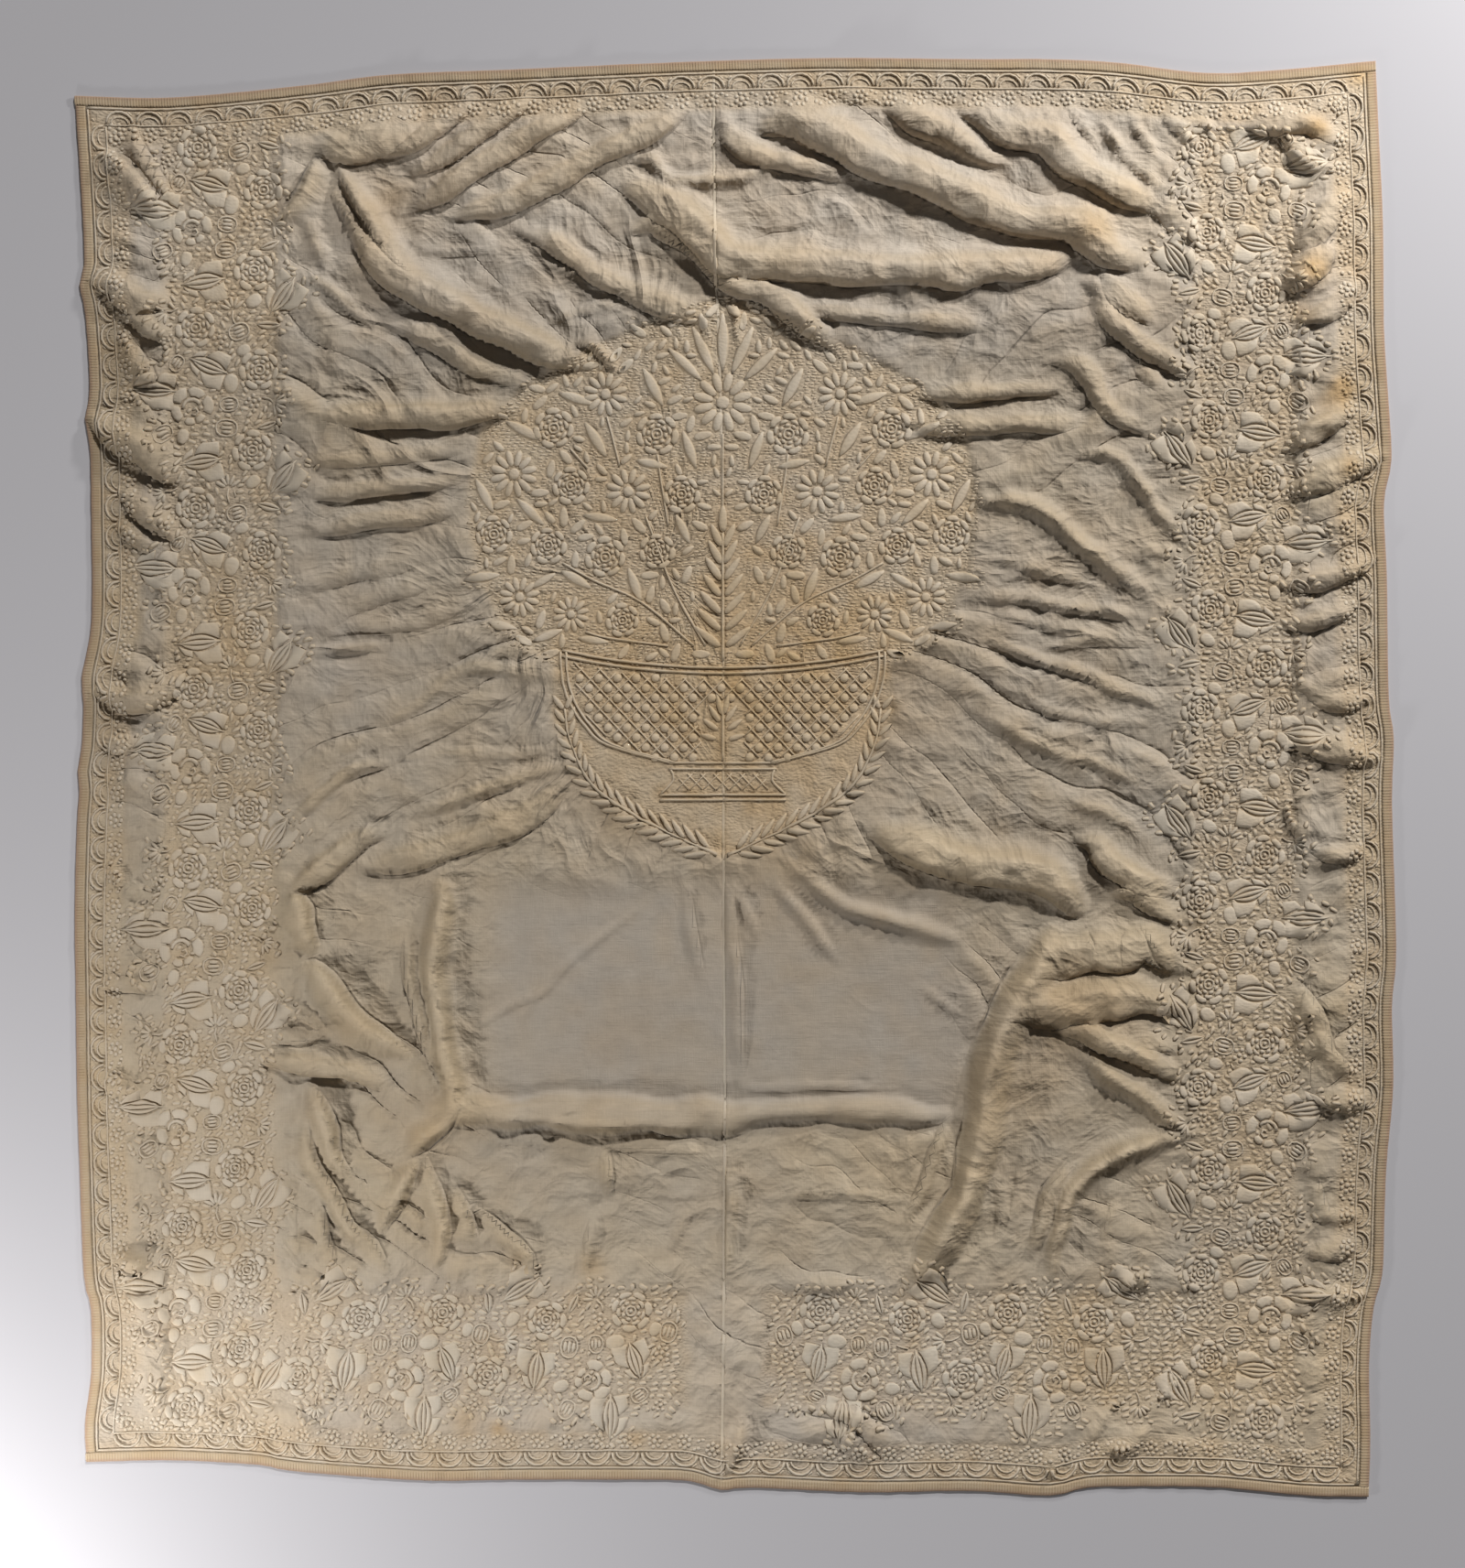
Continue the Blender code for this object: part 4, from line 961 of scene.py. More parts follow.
def fill_ground(work, wanted, low, high, seed, reach, pitch, wander, grain):
    """Short stuffed grains that fill the ground between motifs, in rows that wander."""
    cell = 0.12
    size = ((np.array(high) - low) / cell).astype(int) + 2
    full = np.zeros(size, bool)
    close = np.zeros(size, bool)
    xs = low[0] + cell * np.arange(size[0])
    ys = low[1] + cell * np.arange(size[1])
    for x, y, radius in work.taken:
        for grid, more in ((full, radius + 0.2), (close, radius + reach)):
            i = slice(*np.searchsorted(xs, (x - more, x + more)))
            j = slice(*np.searchsorted(ys, (y - more, y + more)))
            grid[i, j] |= (xs[i, None] - x) ** 2 + (ys[None, j] - y) ** 2 < more ** 2
    rng = np.random.default_rng(seed)
    columns, rows = (np.arange(low[k], high[k], pitch[k]) for k in (0, 1))
    rows, columns = np.meshgrid(rows, columns, indexing="ij")
    start = rng.uniform(0, pitch[0], len(rows))[:, None]
    x = (columns + start + rng.uniform(-0.12, 0.12, rows.shape)).ravel()
    y = (rows + rng.uniform(-0.07, 0.07, rows.shape)).ravel()
    x = x + 0.35 * patches(x / 3, y / 2, seed + 2)
    y = y + 0.3 * patches(x / 3, y / 3, seed + 3)
    turn = wander * patches(x / 3.6, y / 3.6, seed + 1) + rng.uniform(-0.12, 0.12, len(x))
    length = rng.uniform(grain[0], grain[1], len(x))

    def at(grid, t):
        i = ((x + t * np.cos(turn) - low[0]) / cell).astype(int)
        j = ((y + t * np.sin(turn) - low[1]) / cell).astype(int)
        good = (i >= 0) & (i < size[0]) & (j >= 0) & (j < size[1])
        found = grid[np.clip(i, 0, size[0] - 1), np.clip(j, 0, size[1] - 1)]
        return found | ~good if grid is full else found

    left = at(full, -0.42)
    right = at(full, 0.42)
    shift = 0.26 * (left.astype(float) - right.astype(float))
    length = np.where(left | right, 0.55 * length, length)
    keep = (wanted(x, y) | at(close, 0)) & ~at(full, 0) & ~(left & right)
    x = x + shift * np.cos(turn)
    y = y + shift * np.sin(turn)
    work.seeds(x[keep], y[keep], turn[keep], length[keep], grain[2], grain[3])


# The vine: one row for each motif of a repeat; t runs outward across the band, s along it
# motif, t, s, turn in degrees, size
REPEAT = 32.8
VINE = (
    ("rosette", 8.8, 5.9, 0, 3.5),
    ("rosette", 18.6, 16.1, 0, 3.6),
    ("rosette", 7.2, 23.8, 0, 3.5),
    ("half flower", 19.6, 30.6, 0, 3.8),
    ("cupped leaf", 17.4, 7.8, 4, 1),
    ("cupped leaf", 16.2, 23.1, -16, 0.92),
    ("leaf with lobes", 3.6, 10.6, 55, 0.95),
    ("leaf with lobes", 25.8, 27.4, -3, 1),
    ("bud", 13.4, 1.8, 0, 1),
    ("bud", 24.4, 2.3, 30, 0.95),
    ("bud", 11.2, 17, 15, 1),
    ("bud", 12.9, 30, 0, 0.9),
    ("bud", 21.8, 22.6, 60, 0.8),
    ("fan", 12.4, 12.8, -80, 1),
    ("fan", 23.8, 13.6, 15, 0.85),
    ("fan", 5, 30.2, 150, 0.9),
    ("small leaf", 5.8, 15.8, -8, 1),
    ("small leaf", 6, 1.2, 20, 0.9),
    ("lobe", 12.3, 26.6, 80, 1),
    ("lobe", 20.6, 3.3, 75, 0.8),
    ("lobe", 8.6, 11.4, 30, 0.85),
    ("lobe", 10.2, 19.9, 20, 0.75),
    ("beads", 14.2, 18.6, 0, 0.9),
    ("beads", 8.4, 29.4, 40, 0.9),
    ("beads", 23.4, 18.4, 100, 0.8),
)
MOTIFS = {
    "cupped leaf": cupped_leaf, "leaf with lobes": leaf_with_lobes, "small leaf": small_leaf, "lobe": lobe,
    "bud": barred_bud, "fan": fan, "beads": bead_cluster,
}
FLOWER_KINDS = {"rosette": rosette, "half flower": half_flower, "daisy": daisy}


class Band:
    """A band of the vine: its start, the way t runs, whether s is mirrored and how close the repeats are."""

    def __init__(self, start, turn, flip, stretch=1, bow=((0, 0), (1, 0))):
        self.start = np.array(start)
        self.turn = turn
        self.flip = flip
        self.stretch = stretch
        self.bow = np.array(bow)

    def frame(self, t, s, turn=0, size=1):
        place = (t + np.interp(s, self.bow[:, 0], self.bow[:, 1]), s * self.flip * self.stretch)
        x, y = self.start + turned(np.array([place]), self.turn)[0]
        return Frame(x, y, self.turn + self.flip * math.radians(turn), self.flip, size)


def lay_vine(work, band, first, last, seed):
    """The motifs of the vine between two places along a band, and its thin wandering stem."""
    rng = np.random.default_rng(seed)
    for turn in range(math.floor(first / REPEAT) - 1, math.ceil(last / REPEAT) + 1):
        for motif, t, s, angle, size in VINE:
            at = s + turn * REPEAT
            shift = rng.uniform(-0.35, 0.35, 2)
            f = band.frame(t + shift[0], at + shift[1], angle + rng.uniform(-6, 6))
            if first <= at <= last:
                size = size * rng.uniform(0.96, 1.04)
                if motif in FLOWER_KINDS:
                    FLOWER_KINDS[motif](work, f, size)
                else:
                    f.size = size
                    MOTIFS[motif](work, f)
    stem = [band.frame(12.6 + 1.3 * math.sin(2 * TURN * (s - 3) / REPEAT), s).at
            for s in np.arange(first, last)]
    taken = np.array(work.taken)
    free = np.array([((taken[:, :2] - p) ** 2).sum(axis=1).min() > 1 for p in stem])
    for line in runs_of(np.array(stem), free):
        work.cord(line, 0.34, 0.2)


def runs_of(line, good):
    """Each unbroken run of good places along a line, where it has two or more."""
    ends = np.flatnonzero(np.diff(np.concatenate([[0], good.astype(int), [0]])))
    return [line[a:b] for a, b in zip(ends[::2], ends[1::2]) if b - a > 1]


def lay_band(name, seed, parts, wanted, low, high):
    """One band of the vine: its motifs and the ground between them."""
    work = Work(name)
    for i, (band, first, last) in enumerate(parts):
        lay_vine(work, band, first, last, seed + i)
    fill_ground(work, wanted, low, high, seed + 10, 1.5, (1.9, 1.12), 1.6, (1.3, 2.1, 0.98, 0.25))
    work.finish(STUFFED)


def side_ground(inner, outer):
    """The worked ground of a side band, with a ragged margin."""
    def wanted(x, y):
        ragged = 1.6 * patches(y / 4.2, x / 9, 31)
        return (np.abs(x) > inner + ragged) & (np.abs(x) < outer + ragged) & (y < BAND_TOP - 1.5 + ragged)
    return wanted


def low_ground(x, y):
    """The worked ground of the bottom band, left open at its middle."""
    ragged = 1.6 * patches(x / 4.2, y / 9, 32)
    return ((y < BOTTOM_BAND[1] + ragged) & (y > BOTTOM_BAND[0] + ragged)
            & ((x < BREAK[0] - 2) | (x > BREAK[1] + 2)))


# The medallion: a basket of flowers, the same on both sides of its middle
# One row for each flower: kind, distance from the middle, height, radius
FLOWERS = (
    ("daisy", 0, 65.5, 5.6), ("rosette", 11.5, 60, 3.8), ("daisy", 20.5, 67, 4.2),
    ("rosette", 29.5, 61, 3.6), ("daisy", 36.5, 53, 4.4), ("rosette", 40, 42.5, 3.4),
    ("rosette", 26.5, 51, 3.4), ("daisy", 16.5, 50, 4.2), ("rosette", 7.2, 49.5, 3.4),
    ("rosette", 30.5, 40.5, 3.3), ("daisy", 35.5, 31.5, 3.8), ("rosette", 20.5, 38.5, 3.6),
    ("daisy", 26.5, 28.5, 3.4), ("rosette", 11.5, 39.5, 3.2), ("rosette", 17.5, 27.5, 3),
)
# One row for each leaf: distance from the middle, height, turn in degrees, length, width
LEAVES = (
    (0, 76, 90, 10, 2.6), (3.4, 74.6, 66, 9, 2.4), (6.6, 72.2, 44, 8, 2.2), (12.2, 68.2, 62, 7.4, 2.4),
    (25.6, 66.2, 18, 6.4, 2.2), (34.8, 60.6, 28, 6.8, 2.4), (41.6, 49.2, 62, 6.6, 2.2),
    (42, 35, -8, 6.2, 2.2), (33.6, 46.4, 44, 6.4, 2.2), (22.2, 59, 58, 7, 2.4), (5.8, 57.2, 70, 6.8, 2.2),
    (21.4, 45.4, 8, 6, 2), (12.4, 54.8, 12, 5.6, 2), (25.6, 34.6, 30, 6, 2.2), (30.6, 24.8, -22, 5.6, 2),
    (15.4, 33.6, 70, 6.4, 2.2), (7, 43.4, 64, 5.4, 2), (22.6, 24, 8, 5.4, 1.8), (38.4, 26.4, 10, 5, 1.8),
    (31.4, 34.4, -30, 5, 1.8),
)
# One row for each stem: places along it, as distance from the middle and height
STEMS = (
    ((0.0, 43.0), (0.0, 52.0), (0.0, 60.0)),
    ((3.0, 23.0), (8.6, 33.0), (13.4, 45.5)),
    ((5.0, 23.0), (14.0, 30.5), (22.6, 34.5), (28.0, 37.5)),
    ((9.5, 23.0), (20.0, 24.4), (24.0, 25.5)),
    ((9.5, 44.0), (10.8, 52.0), (11.4, 56.4)),
    ((18.0, 54.4), (19.4, 60.0), (20.2, 63.0)),
    ((23.6, 54.0), (26.6, 57.4)),
)
RIM_HALF = 28.0
RIM_HEIGHT = 20.0
BOWL_BOTTOM = 2.6
FOOT_HALF = 11.0
FOOT_BOTTOM = -3.0
TRELLIS_STEP = 3.3


def bowl_half(y):
    """Half the width of the bowl at a height."""
    t = np.clip((np.asarray(y, float) - BOWL_BOTTOM) / (RIM_HEIGHT - BOWL_BOTTOM), 0, 1)
    return 9 + (RIM_HALF - 9) * np.sqrt(1 - (1 - t) ** 2)


def rim_y(x):
    """The sagging rim of the bowl."""
    return RIM_HEIGHT + 3 * (np.asarray(x, float) / RIM_HALF) ** 2 - 0.8


def mirrored(points, sides=(-1, 1), step=1):
    """A smooth line on each side of the medallion's middle, from its distance from the middle and height."""
    return [flowing([(MEDALLION_X + side * u, v) for u, v in points], step) for side in sides]


def in_bowl(x, y):
    """Where the trellis covers the bowl: inside its cords and outside its leaf spray."""
    bowl = (np.abs(x) < bowl_half(y) - 1.3) & (y < rim_y(x) - 1.5) & (y > BOWL_BOTTOM + 0.5)
    return bowl & ~((np.abs(x) < 3.6) & (y < 13.5))


def in_foot(x, y):
    return (np.abs(x) < 8.4) & (y > FOOT_BOTTOM + 0.2) & (y < BOWL_BOTTOM - 1.4)


def crossed_cords(work, half, low, high, inside, pitch, width, height):
    """Slanting cords both ways, kept inside a shape, for the basket's trellis."""
    y = np.linspace(low, high, int((high - low) / 0.9) + 1)
    for lean in (-1, 1):
        for start in np.arange(-half - (high - low) - 6, half + 30, pitch):
            x = lean * (start + (y - low) * 0.95)
            for line in runs_of(np.column_stack([x + MEDALLION_X, y]), inside(x, y)):
                work.cord(line, width, height)


def basket(work):
    """A footed basket of crossed cords with padded diamonds, a rolled rim and a leaf spray at its middle."""
    cords = []
    for drop in (0, 1):
        cords.append(([(x, rim_y(x) - drop) for x in np.linspace(0, RIM_HALF, 7)], 0.5, 0.3))
        ys = np.linspace(RIM_HEIGHT + 2, BOWL_BOTTOM, 7)
        cords.append(([(bowl_half(y) + 0.3 - drop, y) for y in ys], 0.5, 0.3))
    for half, y, height in ((9.4, BOWL_BOTTOM, 0.24), (9.4, BOWL_BOTTOM - 1.1, 0.24),
                            (FOOT_HALF, FOOT_BOTTOM, 0.28), (FOOT_HALF, FOOT_BOTTOM - 0.9, 0.28)):
        cords.append(([(0, y), (5 if half < 10 else 6, y), (half, y)], 0.5, height))
    cords.append(([(9.2, BOWL_BOTTOM - 1), (8.6, -0.4), (FOOT_HALF, FOOT_BOTTOM)], 0.45, 0.22))
    for points, width, height in cords:
        for line in mirrored(points):
            work.cord(line, width, height)
    crossed_cords(work, RIM_HALF, BOWL_BOTTOM, RIM_HEIGHT + 2, in_bowl, TRELLIS_STEP, 0.34, 0.22)
    crossed_cords(work, 12, FOOT_BOTTOM, BOWL_BOTTOM - 1, in_foot, 2.3, 0.3, 0.18)
    # Padded diamonds between the cords
    rise = TRELLIS_STEP / 1.9
    for j in range(int((RIM_HEIGHT - BOWL_BOTTOM + 2) / rise) + 1):
        y = BOWL_BOTTOM + rise * (j + 0.5)
        for i in range(-10, 11):
            x = TRELLIS_STEP * (i + 0.5 * (j % 2)) + 1.4
            if in_bowl(abs(x) + 0.9, y) and in_bowl(abs(x), y + 0.8):
                work.bean(HERE, x + MEDALLION_X, y, 1.75, 1.75, 0, 8, 0.3)
    for side in (-1, 1):
        for k in range(4):
            a = math.radians(90 - side * (14 + 20 * k))
            u, v = polar(2.6, a)
            work.bean(HERE, MEDALLION_X + u, 6.4 + 1.3 * (3 - k) + v, 4.4 - 0.3 * k, 1.15, a, 8, 0.3, 0.5)
    work.cord(*mirrored(((0, BOWL_BOTTOM + 0.4), (0, 9), (0, 13)), (1,)), 0.5, 0.26)


def leafy_stem(work):
    """The upright leafy stem over the basket's rim."""
    work.cord(*mirrored(((0, 20.4), (0, 32), (0, 42.6)), (1,), 1.1), 0.55, 0.28)
    for k in range(7):
        for side in (-1, 1):
            a = math.radians(90 - side * (52 - 4.5 * k))
            u, v = polar(3.4 - 0.12 * k, a)
            y = 22.5 + 2.9 * k + v
            work.bean(HERE, MEDALLION_X + u, y, 6 - 0.2 * k, 1.5, a, 10, 0.36, 0.45, plump=True)
    work.bean(HERE, MEDALLION_X, 45.2, 5.2, 1.7, math.radians(90), 10, 0.36, 0.45, plump=True)


def crossed_sprays(work):
    """Two leafy sprays that meet in a point under the basket."""
    for line in mirrored(((1, -13.6), (8, -10.4), (16, -6.4), (23, -1), (26.6, 6), (27.6, 12))):
        work.cord(line, 0.5, 0.26)
        for i in range(17):
            share = 0.03 + 0.96 * i / 16
            here = along_line(line, share)
            u, v = along_line(line, min(1, share + 0.02)) - along_line(line, share - 0.02)
            for hand in (-1, 1):
                a = math.atan2(v, u) + hand * 0.55
                long = 4.9 - 1.5 * share
                work.bean(HERE, *(here + polar(0.56 * long, a)), long, 1.15, a, 8, 0.32, 0.4)


def small_leaves(work, seed):
    """Small leaves in the open places between the medallion's flowers, the same on both sides."""
    rng = np.random.default_rng(seed)
    for y in np.arange(21.6, 82, 2):
        for u in np.arange(1.4, 46, 2.2):
            at = np.array([u, y]) + rng.uniform(-0.5, 0.5, 2)
            turn = rng.uniform(0, math.pi)
            if medallion_reach(MEDALLION_X + at[0], at[1]) < 1:
                continue
            taken = np.array(work.taken)
            room = (np.hypot(taken[:, 0] - MEDALLION_X - at[0], taken[:, 1] - at[1]) - taken[:, 2]).min()
            if room < 0.85:
                continue
            reach = min(room, 1.5)
            for side in (-1, 1):
                a = turn if side > 0 else math.pi - turn
                work.bean(HERE, MEDALLION_X + side * at[0], at[1], 2.5 * reach, 1.1 * reach, a, 8, 0.24, 0.3,
                          plump=room > 1.3)


def medallion_ground(x, y):
    return (medallion_reach(x, y) > 1.2 + 1.2 * patches(x / 3.4, y / 3.4, 33)) & (y > 19.5)


def medallion_work():
    """The medallion in the middle of the cloth."""
    work = Work("medallion_basket_of_flowers")
    basket(work)
    leafy_stem(work)
    crossed_sprays(work)
    for points in STEMS:
        for line in mirrored(points, (-1, 1) if points[-1][0] else (1,), 1.1):
            work.cord(line, 0.42, 0.24)
    for kind, u, v, radius in FLOWERS:
        for side in (-1, 1) if u else (1,):
            f = Frame(MEDALLION_X + side * u, v, math.radians(90 - side * 14), side)
            FLOWER_KINDS[kind](work, f, radius)
    for u, v, turn, length, width in LEAVES:
        for side in (-1, 1) if u else (1,):
            a = math.radians(turn) if side > 0 else math.pi - math.radians(turn)
            lined_leaf(work, Frame(MEDALLION_X + side * u, v, a, side), length, width, lines=1)
    small_leaves(work, 61)
    pitch, grain = (1.28, 0.58), (1, 1.28, 0.5, 0.14)
    fill_ground(work, medallion_ground, (-50, 19), (46, 86), 60, 0.9, pitch, 0.35, grain)
    work.finish(STUFFED)


# The edging: scallops, cords and bead flowers round all four sides
SIDES = ("top", "bottom", "left", "right")
SCALLOP_PITCH = 5.2
# One row for each cord: depth, width, height
EDGING_CORDS = ((2.15, 0.38, 0.22), (5.15, 0.34, 0.18))
# One row for each arch of a scallop: half width, depth of its crown and foot, width, height
ARCHES = ((2.3, 2.6, 4.7, 0.5, 0.3), (1.55, 3.6, 4.8, 0.34, 0.19))
# One row for each bead between scallops: how far along, depth
BEADS = ((2.6, 6.1), (2.6, 7.4), (1.85, 5.75), (-1.85, 7.75))


def edge_place(side, along, depth):
    """Places this far along a side and this deep inside it."""
    along = np.asarray(along, float)
    depth = np.asarray(depth, float)
    if side in ("top", "bottom"):
        up = depth / TALL
        return in_outline(along / WIDE, 1 - up if side == "top" else up)
    across = depth / WIDE
    return in_outline(across if side == "left" else 1 - across, along / TALL)


def edging_work():
    """The scalloped edging inside the tape."""
    work = Work("scalloped_edging")
    rng = np.random.default_rng(70)
    for side in SIDES:
        length = WIDE if side in ("top", "bottom") else TALL
        for depth, width, height in EDGING_CORDS:
            along = np.arange(depth, length - depth, 1.2)
            work.cord(edge_place(side, along, np.full(len(along), depth)), width, height)
        count = round((length - 10) / SCALLOP_PITCH)
        pitch = (length - 10) / count
        for i in range(count):
            middle = 5 + (i + 0.5) * pitch + rng.uniform(-0.12, 0.12)
            for half, crown, foot, width, height in ARCHES:
                a = np.linspace(0, math.pi, 8)
                line = edge_place(side, middle - half * np.cos(a), foot - (foot - crown) * np.sin(a))
                work.cord(line, width, height)
            # A small leaf spray between scallops
            for lean in (-1, 1):
                here = edge_place(side, middle + 0.5 * pitch + 0.45 * lean, 3.2)
                there = edge_place(side, middle + 0.5 * pitch + lean, 2.7)
                a = math.atan2(there[1] - here[1], there[0] - here[0])
                work.bean(HERE, *(0.5 * (here + there)), 1.1, 0.45, a, 6, 0.15)
            # A bead flower under each scallop and a few beads between
            at = edge_place(side, middle, 6.75)
            work.bean(HERE, *at, 0.95, 0.95, 0, 6, 0.2)
            for k in range(7):
                a = k * TURN / 7 + 0.3 * i
                work.bean(HERE, *(at + polar(1, a)), 0.82, 0.82, a, 6, 0.17)
            for off, depth in BEADS:
                work.bean(HERE, *edge_place(side, middle + off, depth), 0.85, 0.7, 0, 6, 0.15)
    work.finish(STUFFED)


def lay_tape(side):
    """The ribbed tape that binds one side: a fine grid with raised ribs, laid along the edge."""
    length = WIDE if side in ("top", "bottom") else TALL
    margin = TAPE_WIDTH + GAP if side in ("left", "right") else 0
    rows = int((length - 2 * margin) / TAPE_STEP)
    bm, i, j = new_grid(rows, 4)
    depth = np.array((0, 0.22, 0.75, 1.35, TAPE_WIDTH - GAP))[j]
    along = margin + (length - 2 * margin) * i / rows
    rib = 0.075 * np.cos(TURN * i / 3) * (j > 0) * (j < 4)
    roll = np.array((-0.05, 0.04, 0.03, 0.02, 0))[j] + 0.03 * patches(along / 2.3, depth, 41)
    places = edge_place(side, along, depth)
    over = TAPE_THICK + rib + roll
    tape = lay_sheet(side + "_edge_tape", bm, places, over, TAPE_THICK, TAPE)
    tell(tape.data, outer=1 - soft_step(0.2, 0.8, depth), groove=rib < -0.02)
    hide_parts("binding_" + side)
    return tape


# Materials
class Nodes:
    """Writes a node tree by short calls: each input takes a value or another node's output."""

    def __init__(self, tree):
        self.tree = tree

    def put(self, kind, values=None, **settings):
        """A node with its settings, its inputs set or joined."""
        node = self.tree.nodes.new(kind)
        for key, value in settings.items():
            setattr(node, key, value)
        for key, value in (values or {}).items():
            if isinstance(value, bpy.types.NodeSocket):
                self.tree.links.new(value, node.inputs[key])
            else:
                node.inputs[key].default_value = value
        return node

    def maths(self, operation, a, b=0, c=0.5, clamp=False):
        return self.put("ShaderNodeMath", {0: a, 1: b, 2: c}, operation=operation, use_clamp=clamp).outputs[0]

    def times(self, a, b, clamp=False):
        return self.maths("MULTIPLY", a, b, clamp=clamp)

    def plus(self, a, b, clamp=False):
        return self.maths("ADD", a, b, clamp=clamp)

    def less(self, a, b, clamp=False):
        return self.maths("SUBTRACT", a, b, clamp=clamp)

    def scaled(self, a, times, plus, clamp=False):
        return self.maths("MULTIPLY_ADD", a, times, plus, clamp)

    def vector(self, operation, a, b=(0, 0, 0), scale=1):
        values = {0: a, 1: b, 3: scale}
        return self.put("ShaderNodeVectorMath", values, operation=operation).outputs

    def mixed(self, share, a, b, blend="MIX"):
        values = {0: share, 6: a, 7: b}
        return self.put("ShaderNodeMix", values, data_type="RGBA", blend_type=blend).outputs[2]

    def told(self, name):
        """One of the mesh's own tones."""
        return self.put("ShaderNodeAttribute", attribute_name=name).outputs["Fac"]

    def where(self):
        """The place on the piece."""
        return self.put("ShaderNodeTexCoord").outputs["Object"]

    def grain(self, scale, detail, stretch=(1, 1, 1)):
        """Flat noise on the piece's own place, stretched one way for threads."""
        laid = self.put("ShaderNodeMapping", {"Vector": self.where(), "Scale": stretch}).outputs[0]
        values = {"Vector": laid, "Scale": scale, "Detail": detail}
        return self.put("ShaderNodeTexNoise", values, noise_dimensions="2D").outputs[0]

    def bent_place(self, scale, detail, reach):
        """The place on the piece, moved about so that patterns on it wander."""
        where = self.where()
        values = {"Vector": where, "Scale": scale, "Detail": detail}
        bent = self.put("ShaderNodeTexNoise", values, noise_dimensions="2D").outputs["Color"]
        return self.vector("ADD", where, self.vector("SCALE", bent, scale=reach)[0])[0]

    def cells(self, place, stretch, scale):
        """How far each place is from the middle of its cell in an uneven pattern."""
        flat = self.put("ShaderNodeMapping", {"Vector": place, "Scale": stretch}).outputs[0]
        values = {"Vector": flat, "Scale": scale}
        return self.put("ShaderNodeTexVoronoi", values, voronoi_dimensions="2D").outputs["Distance"]

    def total(self, parts):
        """The sum of some outputs, each with its share."""
        out = None
        for part, share in parts:
            part = self.times(part, share)
            out = self.plus(out, part) if out else part
        return out

    def use(self, group, values=None):
        return self.put("ShaderNodeGroup", values, node_tree=group).outputs

    def raised(self, height, distance, normal=None):
        """A bump of this many metres from a height."""
        values = {"Height": height, "Distance": distance, "Strength": 1}
        if normal is not None:
            values["Normal"] = normal
        return self.put("ShaderNodeBump", values).outputs[0]


def new_group(name, inputs, outputs, build):
    """A node group with named sockets, whose build takes its nodes and inputs and returns its outputs."""
    tree = bpy.data.node_groups.new(name, "ShaderNodeTree")
    for way, sockets in (("INPUT", inputs), ("OUTPUT", outputs)):
        for socket, kind in sockets:
            tree.interface.new_socket(socket, in_out=way, socket_type="NodeSocket" + kind)
    n = Nodes(tree)
    given = n.put("NodeGroupInput").outputs
    n.put("NodeGroupOutput", dict(enumerate(build(n, given))))
    return tree


def threads(n, _):
    """Threads both ways, as a height from 0 to 1, with thicker ones here and there."""
    both = n.maths("MAXIMUM", n.grain(60, 0, (14, 0.7, 1)), n.grain(60, 0, (0.7, 14, 1)))
    return [n.plus(both, n.times(n.grain(26, 0, (0.5, 9, 1)), 0.6))]


def age(n, given):
    """Old cotton's colour, fresh to warm, mottled, stained in ochre, with paler threads, brightened by the
    paleness tone that holds painted light; its roughness.
    """
    fine = n.grain(34, 2)
    thread = n.plus(n.grain(50, 1, (12, 0.6, 1)), n.grain(50, 1, (0.6, 12, 1)))
    warm = n.plus(n.told("warmth"), n.times(n.less(n.grain(3.2, 3), 0.5), 1.1), True)
    colour = n.mixed(warm, given["Fresh"], given["Warm"])
    spread = n.times(n.told("stain"), n.scaled(fine, 1.5, 0.5, True))
    colour = n.mixed(n.times(spread, 0.85, True), colour, given["Stain"])
    shade = n.times(n.less(thread, 1), 0.1)
    worn = n.times(n.less(fine, 0.5), given["Wear"])
    # The paleness tone, painted light included, lifts the level of the colour
    level = n.plus(n.plus(n.plus(shade, worn), 0.9), n.times(n.told("pale_and_painted_light"), 0.32))
    grey = n.put("ShaderNodeCombineColor", {0: level, 1: level, 2: level}).outputs[0]
    return [n.mixed(1, colour, grey, "MULTIPLY"), n.scaled(fine, 0.16, 0.78)]


def pits(n, given):
    """Close hand stitching that pits the worked parts, as a height from 0 to 1."""
    return [n.less(1, n.cells(n.bent_place(26, 0, 0.012), (0.6, 1, 0), given["Pitch"]))]


def crumple(n, _):
    """The fine crumpling of old washed cloth, as a height from 0 to 1: facets that meet in creases."""
    place = n.bent_place(11, 1, 0.06)
    sizes = ((17, 0.5), (38, 0.26), (82, 0.13))
    facets = n.total((n.cells(place, (1, 1.3, 0), scale), share) for scale, share in sizes)
    return [n.times(n.plus(facets, n.times(n.grain(90, 1), 0.12)), n.told("slack"))]


